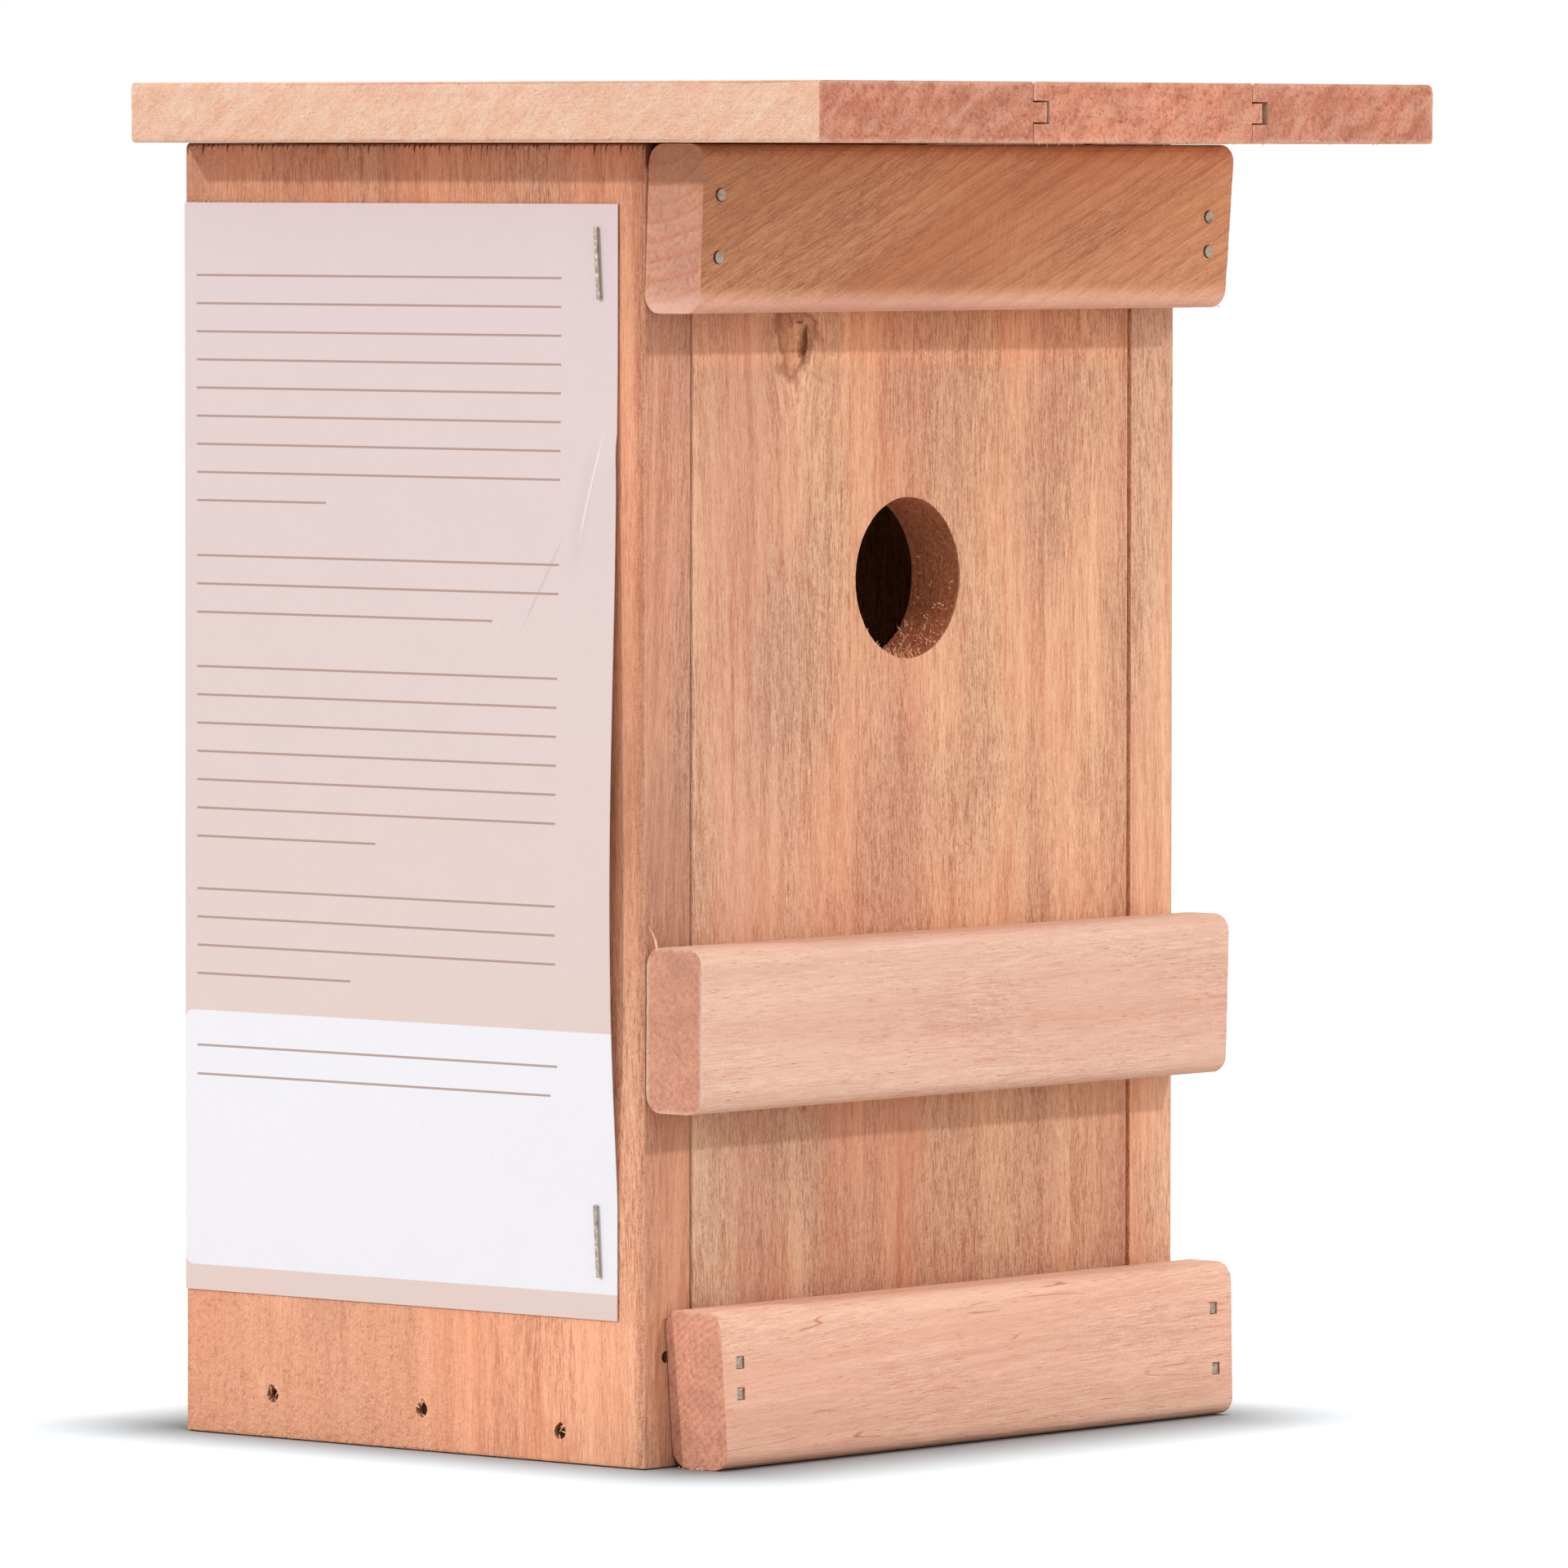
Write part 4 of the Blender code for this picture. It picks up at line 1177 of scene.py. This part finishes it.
def slat_material(node, timber, pith, tilt):
    """Return a slat's material, with saw marks where the saw left them."""
    finish = slat_finishes[node]
    timber = timber._replace(
        pale=tinted(timber.pale, finish.face), rosy=tinted(timber.rosy, finish.face),
        end=tinted(timber.end, finish.end),
    )
    name = node.replace("_", " ") + " beech"
    surface, colour, height = timber_surface(
        name, timber, "X", node, pith, tilt, worn=0.7 * mm, hollow=0
    )
    place = surface.place
    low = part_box(node)[0]

    # The sawn ends: scratches of the saw and arcs of growth
    end = surface.end_mask("X")
    x, y, z = split_axes(turned(place, Euler((math.radians(38), 0, 0))))
    inputs = {"Vector": join_axes(y, z, x), "Pitch": 0.5 * mm, "Reach": 8 * mm}
    on_end = use_group("saw marks", inputs)["Mask"] * end
    colour = stained(colour, on_end, finish.scored, timber.pale)
    height = times_plus(on_end, finish.scored * 0.4, height)
    ring_centre = Vector((0, low.y - 34 * mm, low.z - 38 * mm))
    swerve = noise(place, (90, 90, 90)) * 2.0
    turns = length(place * (0, 1, 1) - ring_centre) / (1.15 * mm)
    arcs = calculate("FRACT", turns + swerve)
    colour = stained(colour, arcs * arcs * end, finish.arcs, timber.dark)
    if node == "top_slat":
        colour, height = top_slat_marks(surface, timber, colour, height, end)
    surface.paint(colour)
    surface.emboss(height, 0.08 * mm)
    return surface.material


def top_slat_marks(surface, timber, colour, height, end):
    """Add the top slat's tones, its slanting saw marks, its greenish corner and its rosy foot,
    painted lighter where the front lamp reaches below the roof's shadow.
    """
    place = surface.place
    along_x, _, along_z = split_axes(place)
    stops = ((0.0, 0.88), (0.5, 0.89), (1.0, 1.06))
    colour = toned(colour, along_x, -75 * mm, 75 * mm, *stops)
    leaning = turned(place, Euler((0, math.radians(-14), 0)))
    inputs = {"Vector": leaning, "Pitch": 0.45 * mm, "Reach": 9 * mm}
    marks = use_group("saw marks", inputs)["Mask"]
    where = spread(noise(place, (28, 28, 60)), 0.42, 0.6) * spread(along_x, -20 * mm, 20 * mm)
    marked = marks * where * calculate("SUBTRACT", 1.0, end)
    colour = stained(colour, marked, 0.5, timber.pale)
    height = times_plus(marked, 0.6, height)
    green = spread(along_x, -20 * mm, -60 * mm) * spread(along_z, 205 * mm, 220 * mm)
    colour = stained(colour, green, 0.3, slat_green)
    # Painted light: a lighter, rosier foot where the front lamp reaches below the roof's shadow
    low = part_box("top_slat")[0].z
    foot = spread(along_z, low + 4.5 * mm, low + 1.5 * mm)
    return stained(colour, foot, 0.5, slat_foot_light), height


class NESTBOX_OT_slats(bpy.types.Operator):
    """Roughen the slats' sawn ends and give them their grain"""

    bl_idname = "nestbox.slats"
    bl_label = "Slats"

    def execute(self, context):
        shape = context.scene.nest_box_shape
        kinds = timbers(context.scene.nest_box_wood)
        for node, kind, body, slot, pith, tilt in (
            ("top_slat", "brown", "box", "beech_brown", (0.245, 0.03, 0), (2, 23)),
            ("middle_slat", "beech", "front", "beech", (0.06, 0.05, 0.2), (0.3, 0.5)),
            ("bottom_slat", "cracked", "box", "beech", (-0.03, 0.07, 0.5), (1, 1.5)),
        ):
            slat = copy_board(node, f"{node}_board")
            if node == "top_slat":
                seat_board(slat, 2.2 * shape.roof_seat, 3.3 * mm)
            rough_end(slat, "X", -1, shape, 1.0 * mm)
            rough_end(slat, "X", 1, shape, 1.0 * mm)
            material = slat_material(node, kinds[kind], pith, tilt)
            finish_piece(slat, material, body, slot, node)
        return {"FINISHED"}


def bow_share(height_share):
    """Return how far out the leaflet's stapled edge stands at a height, from 0 to 1."""
    between = (height_share - bow_low) / (bow_high - bow_low)
    if between <= 0 or between >= 1:
        return 0.0
    skew = math.log(0.5) / math.log(bow_peak)
    return math.sin(math.pi * between**skew) ** 2


def crease_lift(point, height):
    """Return how far a point of the leaflet is pushed out by the crease at its stapled edge."""
    start = Vector((leaflet_low.y, 177 * mm))
    end = Vector((leaflet_low.y + 11 * mm, 152 * mm))
    along = end - start
    offset = Vector((point.y, point.z)) - start
    share = offset.dot(along) / along.length_squared
    if not 0 < share < 1:
        return 0.0
    aside = abs(offset.x * along.y - offset.y * along.x) / along.length
    width = 1.6 * mm + 3.5 * mm * share
    fading = (1 - share) * math.sin(math.pi * share) ** 0.5
    return height * math.exp(-((aside / width) ** 2)) * fading


def crease_mask(place, start, end, width):
    """Return a mask that follows a crease between two points (y, z) of the leaflet.

    The points are given in millimetres, y from the stapled edge.
    """
    first = Vector((0, leaflet_low.y + start[0] * mm, start[1] * mm))
    along = Vector((0, leaflet_low.y + end[0] * mm, end[1] * mm)) - first
    offset = place * (0, 1, 1) - first
    share = offset.dot(along) / along.length_squared
    nearest = brighten(tuple(along), spread(share, 0.0, 1.0))
    aside = spread(length(offset - nearest), width, 0.0, kind="SMOOTHSTEP")
    return aside * spread(abs(share - 0.5), 0.5, 0.25)


def leaflet_material(wood):
    """Return the printed paper: a tinted ground, a plain pale band, ruled lines and creases with
    painted highlight and shade.
    """
    surface = Surface("leaflet paper", roughness=0.55)
    place = surface.place
    _, across, height = split_axes(place)
    level = spread(height, leaflet_low.z, leaflet_high.z)
    ground = mix(level, solid(wood.paper_foot), solid(wood.paper_top))

    # Plain ruled lines in blocks
    start, end = leaflet_high.y - 2.9 * mm, leaflet_low.y + 12.9 * mm
    lines = 0.0
    for top, rows, last, pitch in ruled_blocks:
        inputs = {
            "Across": across, "Height": height, "Top": top * mm, "Rows": rows,
            "Pitch": pitch * mm, "Start": start, "End": end,
            "Last End": start + (end - start) * last,
        }
        lines = larger(lines, use_group("ruled lines", inputs)["Mask"])

    # The pale band, with rounded corners
    centre = Vector((0, leaflet_high.y - 60 * mm, (band_low + band_high) / 2))
    reach = Vector((0, 60 * mm - band_corner, (band_high - band_low) / 2 - band_corner))
    offset = abs(place * (0, 1, 1) - centre)
    outside = length(larger(offset - reach, (0, 0, 0)))
    band = spread(outside, band_corner + 0.05 * mm, band_corner - 0.05 * mm)
    colour = mix(band, ground, solid(wood.paper_band))
    colour = stained(colour, lines, 0.85, wood.paper_lines)

    # Creases, with a painted highlight on the sharp crease and painted shade along the fold and the
    # faint crease, and the paper's fibres
    sharp = crease_mask(place, (2.8, 179), (8.4, 158), 0.5 * mm)
    fold = crease_mask(place, (4.2, 179), (10.4, 153), 2.6 * mm)
    faint = crease_mask(place, (11, 162), (22, 143), 0.4 * mm)
    colour = stained(colour, faint, 0.35, faint_crease_shade)
    colour = stained(colour, fold, 0.16, fold_shade)
    colour = stained(colour, sharp, 0.6, crease_highlight)
    fibres = centred_noise(place, (2300, 2300, 2300), 3.0, 0.6)
    mottle = centred_noise(place, (120, 120, 120), 3.0)
    light = times_plus(mottle, 0.008, times_plus(fibres, 0.022, 0.985))
    surface.paint(brighten(colour, light))
    times_plus(fibres, 0.06, 0.55).into(surface.inputs["Roughness"])
    relief = times_plus(mottle, 1.2, fibres * 0.4)
    for crease, weight in ((sharp, 3.0), (fold, 8.0), (faint, 2.5)):
        relief = times_plus(crease, weight, relief)
    surface.emboss(relief, 0.03 * mm)
    return surface.material


class NESTBOX_OT_leaflet(bpy.types.Operator):
    """Model the stapled leaflet with its bow and crease"""

    bl_idname = "nestbox.leaflet"
    bl_label = "Leaflet"

    def execute(self, context):
        shape = context.scene.nest_box_shape
        size = leaflet_high - leaflet_low
        middle = (leaflet_low + leaflet_high) / 2
        bpy.ops.object.select_all(action="DESELECT")
        bpy.ops.mesh.primitive_grid_add(
            x_subdivisions=64, y_subdivisions=112, size=1,
            location=(leaflet_high.x, middle.y, middle.z),
            rotation=(math.radians(90), 0, math.radians(-90)),
        )
        leaflet = bpy.context.object
        leaflet.scale = (size.y, size.z, 1)
        leaflet.name = "printed_leaflet"
        leaflet.data.name = "printed_leaflet"
        bpy.ops.object.transform_apply(location=True, rotation=True, scale=True)
        for vertex in leaflet.data.vertices:
            depth_share = (vertex.co.y - leaflet_low.y) / size.y
            height_share = (vertex.co.z - leaflet_low.z) / size.z
            lift = shape.leaflet_bow * bow_share(height_share) * (1 - depth_share) ** 2
            vertex.co.x -= lift + crease_lift(vertex.co, shape.leaflet_crease)
        paper = leaflet.modifiers.new("paper", "SOLIDIFY")
        paper.thickness = shape.paper_thickness
        paper.offset = 1
        apply_modifier(leaflet, paper)
        material = leaflet_material(context.scene.nest_box_wood)
        finish_piece(leaflet, material, "box", "leaflet_paper", "leaflet")
        return {"FINISHED"}


def steel_material(name, steel):
    """Return the dull steel of the fasteners, with darker hammered spots."""
    surface = Surface(name, metallic=1.0, shine=0.5)
    dents = centred_noise(surface.place, (900, 900, 900), 3.0)
    scratches = noise(surface.place, (6000, 6000, 900), 2.0)
    darker = tuple(value * 0.3 for value in steel)
    surface.paint(mix(spread(dents, -0.1, -0.9, 0.0, 0.75), solid(steel), solid(darker)))
    spread(dents, -1.0, 1.0, 0.55, 0.3).into(surface.inputs["Roughness"])
    surface.emboss(dents + scratches, 0.08 * mm)
    return surface.material


class NESTBOX_OT_fasteners(bpy.types.Operator):
    """Give the nails, pins, brads and staples their dull steel"""

    bl_idname = "nestbox.fasteners"
    bl_label = "Fasteners"

    def execute(self, context):
        wood = context.scene.nest_box_wood
        bright = steel_material("dull steel", wood.steel)
        sunk = steel_material("darkened steel", wood.sunk_steel)
        for name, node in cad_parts.items():
            if any(word in name for word in ("nail", "pin", "brad", "staple")):
                node.material_slots[0].material = sunk if "floor_nail" in name else bright
        return {"FINISHED"}


def splinter_material(wood):
    """Return the pale torn fibre of the splinters."""
    surface = Surface("torn fibre", roughness=0.75)
    change = noise(surface.place, (1200, 1200, 1200), 3.0)
    surface.paint(mix(spread(change, 0.4, 0.62), solid(wood.poplar_rosy), solid(wood.splinter)))
    surface.emboss(change, 0.05 * mm)
    return surface.material


def hole_fibres(width, rng):
    """Return the places of the fibres round the entrance hole's lower wall."""
    places = []
    for _ in range(420):
        angle = math.radians(rng.gauss(-90, 38))
        outward = Vector((math.cos(angle), 0, math.sin(angle)))
        y = rng.uniform(front_low.y + 0.2 * mm, front_high.y - 0.4 * mm)
        position = hole_centre + outward * 14.2 * mm
        position.y = y
        drift = Vector((rng.uniform(-0.8, 0.8), rng.uniform(-0.9, 0.5), rng.uniform(-0.6, 0.6)))
        direction = (drift - outward).normalized()
        reach = rng.uniform(0.3, 1.0) * mm
        places.append(Place(position, direction, reach, width * rng.uniform(0.8, 1.8)))
    return places


def row_of_fibres(start, end, outward, count, longest, width, rng):
    """Return the places of loose fibres along an edge."""
    places = []
    for _ in range(count):
        position = start.lerp(end, rng.random()) - outward * 0.1 * mm
        drift = Vector([rng.uniform(-0.7, 0.7) for _ in range(3)])
        direction = (outward + drift).normalized()
        reach = longest * rng.uniform(0.25, 1.0)
        places.append(Place(position, direction, reach, width * rng.uniform(0.6, 1.4)))
    return places


def slat_fibres(node, width, rng):
    """Return the places of the fibres at the feet of a slat's sawn ends."""
    low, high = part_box(node)
    places = []
    for x, side in ((low.x, -1), (high.x, 1)):
        inner = x - side * 1.0 * mm
        start = Vector((inner, low.y + 2.5 * mm, low.z + 0.2 * mm))
        end = Vector((inner, high.y - 2.0 * mm, low.z + 0.2 * mm))
        outward = Vector((side * 0.7, 0, -0.7))
        places += row_of_fibres(start, end, outward, 16, 0.7 * mm, width, rng)
    return places


def grip_splinter():
    """Return the place of the one upright splinter at the middle slat's end."""
    low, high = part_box("middle_slat")
    position = Vector((low.x + 1.6 * mm, high.y - 1.2 * mm, high.z - 0.6 * mm))
    return Place(position, Vector((-0.12, 0.0, 1.0)).normalized(), 4.6 * mm, 0.55 * mm)


def roof_fibres(width, rng):
    """Return the places of the fibres along the roof's lower front edge."""
    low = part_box("roof_board_left")[0]
    start = Vector((left_low.x, low.y + 0.3 * mm, low.z + 0.1 * mm))
    end = Vector((right_high.x, low.y + 0.3 * mm, low.z + 0.1 * mm))
    return row_of_fibres(start, end, Vector((0, -0.35, -0.9)), 26, 1.3 * mm, width, rng)


def nail_splinters(rng):
    """Return the places of the splinters round the left side's sunk nails."""
    places = []
    for number in (1, 2, 3):
        nail_low, nail_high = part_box(f"left_floor_nail_{number}")
        middle = (nail_low + nail_high) / 2
        mouth = Vector((left_low.x + 0.15 * mm, middle.y, middle.z))
        for _ in range(5):
            angle = rng.uniform(0, math.tau)
            around = Vector((0, math.cos(angle), math.sin(angle) * 1.3))
            inward = Vector((-0.35, 0, 0)) - around + Vector((0, 0, rng.uniform(-0.5, 0.5)))
            reach, width = rng.uniform(0.7, 1.5) * mm, rng.uniform(0.2, 0.4) * mm
            places.append(Place(mouth + around * 1.25 * mm, inward.normalized(), reach, width))
    return places


class NESTBOX_OT_splinters(bpy.types.Operator):
    """Add the loose fibres and splinters that sawing and nailing left"""

    bl_idname = "nestbox.splinters"
    bl_label = "Splinters"

    def execute(self, context):
        rng = random.Random(31)
        fibre = splinter_material(context.scene.nest_box_wood)
        template = make_splinter()
        width = context.scene.nest_box_shape.splinter_width
        groups = (
            ("hole_fibres", "front", "poplar_front", hole_fibres(width, rng)),
            ("top_slat_fibres", "box", "beech_brown", slat_fibres("top_slat", width, rng)),
            ("middle_slat_fibres", "front", "beech", slat_fibres("middle_slat", width, rng)),
            ("bottom_slat_fibres", "box", "beech", slat_fibres("bottom_slat", width, rng)),
            ("grip_splinter", "front", "beech", [grip_splinter()]),
            ("roof_fibres", "box", "poplar_roof", roof_fibres(width, rng)),
            ("nail_splinters", "box", "poplar_body", nail_splinters(rng)),
        )
        for name, body, slot, places in groups:
            finish_piece(scatter(name, template, places, rng), fibre, body, slot)
        bpy.data.objects.remove(template, do_unlink=True)
        return {"FINISHED"}


def sun(name, strength, colour, towards, softness):
    """Add a lamp that shines from a direction."""
    bpy.ops.object.light_add(type="SUN")
    lamp = bpy.context.object
    lamp.name = name
    lamp.data.name = name
    lamp.data.energy = strength
    lamp.data.color = colour
    lamp.data.angle = math.radians(softness)
    direction = Vector(towards).normalized()
    lamp.rotation_euler = UP.rotation_difference(direction).to_euler()
    lamp.location = direction * 2
    return lamp


def add_floor(studio):
    """Add the pale floor, which looks white where no shadow falls."""
    bpy.ops.object.select_all(action="DESELECT")
    bpy.ops.mesh.primitive_plane_add(size=40, location=(0, 0, -0.1 * mm))
    floor = bpy.context.object
    floor.name = "floor"
    surface = Surface("pale floor", roughness=0.9, shine=0.0)
    path = add_node(surface.tree, "ShaderNodeLightPath").outputs
    seen = Field(path["Is Camera Ray"])
    surface.paint(mix(seen, solid(studio.floor_colour), solid(studio.floor_seen)))
    floor.data.materials.append(surface.material)
    return floor


def aim_at_floor(lamp, floor, state):
    """Keep a lamp's light off the floor, or on nothing but the floor."""
    pick_only(lamp)
    bpy.ops.object.light_linking_receiver_collection_new()
    receivers = lamp.light_linking.receiver_collection
    receivers.objects.link(floor)
    receivers.collection_objects[0].light_linking.link_state = state


def add_world(studio):
    """Light the box evenly from all round, before white."""
    world = bpy.data.worlds.new("studio")
    bpy.context.scene.world = world
    world.use_nodes = True
    background = world.node_tree.nodes["Background"]
    path = add_node(world.node_tree, "ShaderNodeLightPath").outputs
    seen = larger(Field(path["Is Camera Ray"]), Field(path["Is Glossy Ray"]))
    seen = larger(seen, Field(path["Is Transmission Ray"]))
    colour = mix(seen, solid(studio.fill_colour), solid(white))
    colour.into(background.inputs["Color"])
    spread(seen, 0.0, 1.0, studio.fill, 1.0).into(background.inputs["Strength"])


def add_camera(studio):
    """Place the camera where it sees the front and the left side."""
    turn, rise, roll = studio.camera_turn, studio.camera_rise, studio.camera_roll
    ahead = math.cos(rise)
    back = Vector((math.sin(turn) * ahead, -math.cos(turn) * ahead, math.sin(rise)))
    level = Vector((math.cos(turn), math.sin(turn), 0))
    right = level * math.cos(roll) + back.cross(level) * math.sin(roll)
    bpy.ops.object.camera_add(location=camera_target + back * studio.camera_distance)
    camera = bpy.context.object
    camera.rotation_euler = Matrix((right, back.cross(right), back)).transposed().to_euler()
    camera.data.lens = studio.camera_lens
    camera.data.sensor_width = 36
    bpy.context.scene.camera = camera


class NESTBOX_OT_stage(bpy.types.Operator):
    """Set up the floor, the lamps and the camera"""

    bl_idname = "nestbox.stage"
    bl_label = "Stage"

    def execute(self, context):
        studio = context.scene.nest_box_studio
        context.scene.view_settings.view_transform = "Standard"
        add_world(studio)
        floor = add_floor(studio)
        for name, colour, towards, softness, link in (
            ("front_lamp", studio.lamp_colour, (0.2, -1.0, 0.68), 3.0, "EXCLUDE"),
            ("side_lamp", studio.lamp_colour, (-1.0, 0.385, 0.51), 3.0, "EXCLUDE"),
            ("soft_lamp", white, (-0.6, -0.7, 0.3), 110.0, "EXCLUDE"),
            ("top_lamp", white, (0.25, 0.3, 1.0), 40.0, "EXCLUDE"),
            ("floor_lamp", studio.fill_colour, (-0.01, -0.1, 1.0), 10.0, "INCLUDE"),
        ):
            lamp = sun(name, getattr(studio, name), colour, towards, softness)
            aim_at_floor(lamp, floor, link)
        add_camera(studio)
        return {"FINISHED"}


STEPS = (
    NESTBOX_OT_stage,
    NESTBOX_OT_side_panels,
    NESTBOX_OT_back_and_floor,
    NESTBOX_OT_front_panel,
    NESTBOX_OT_roof_boards,
    NESTBOX_OT_slats,
    NESTBOX_OT_leaflet,
    NESTBOX_OT_fasteners,
    NESTBOX_OT_splinters,
)


class NESTBOX_PT_finish(bpy.types.Panel):
    """The steps of the finish and their settings"""

    bl_idname = "NESTBOX_PT_finish"
    bl_label = "Nest box"
    bl_space_type = "VIEW_3D"
    bl_region_type = "UI"
    bl_category = "Nest box"

    def draw(self, context):
        layout = self.layout
        for step in STEPS:
            layout.operator(step.bl_idname)
        scene = context.scene
        for settings in (scene.nest_box_wood, scene.nest_box_shape, scene.nest_box_studio):
            box = layout.box()
            for name in settings.__annotations__:
                box.prop(settings, name)


CLASSES = (NestBoxWood, NestBoxShape, NestBoxStudio, *STEPS, NESTBOX_PT_finish)


def register():
    """Register the classes and attach the settings to the scene."""
    for item in CLASSES:
        bpy.utils.register_class(item)
    bpy.types.Scene.nest_box_wood = bpy.props.PointerProperty(type=NestBoxWood)
    bpy.types.Scene.nest_box_shape = bpy.props.PointerProperty(type=NestBoxShape)
    bpy.types.Scene.nest_box_studio = bpy.props.PointerProperty(type=NestBoxStudio)


def unregister():
    """Remove the settings and the classes."""
    del bpy.types.Scene.nest_box_studio
    del bpy.types.Scene.nest_box_shape
    del bpy.types.Scene.nest_box_wood
    for item in reversed(CLASSES):
        bpy.utils.unregister_class(item)


def main():
    """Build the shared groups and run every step."""
    register()
    for build_group in (timber_group, edge_group, saw_group, ruled_group):
        build_group()
    for step in STEPS:
        family, action = step.bl_idname.split(".")
        getattr(getattr(bpy.ops, family), action)()


if __name__ == "__main__":
    main()
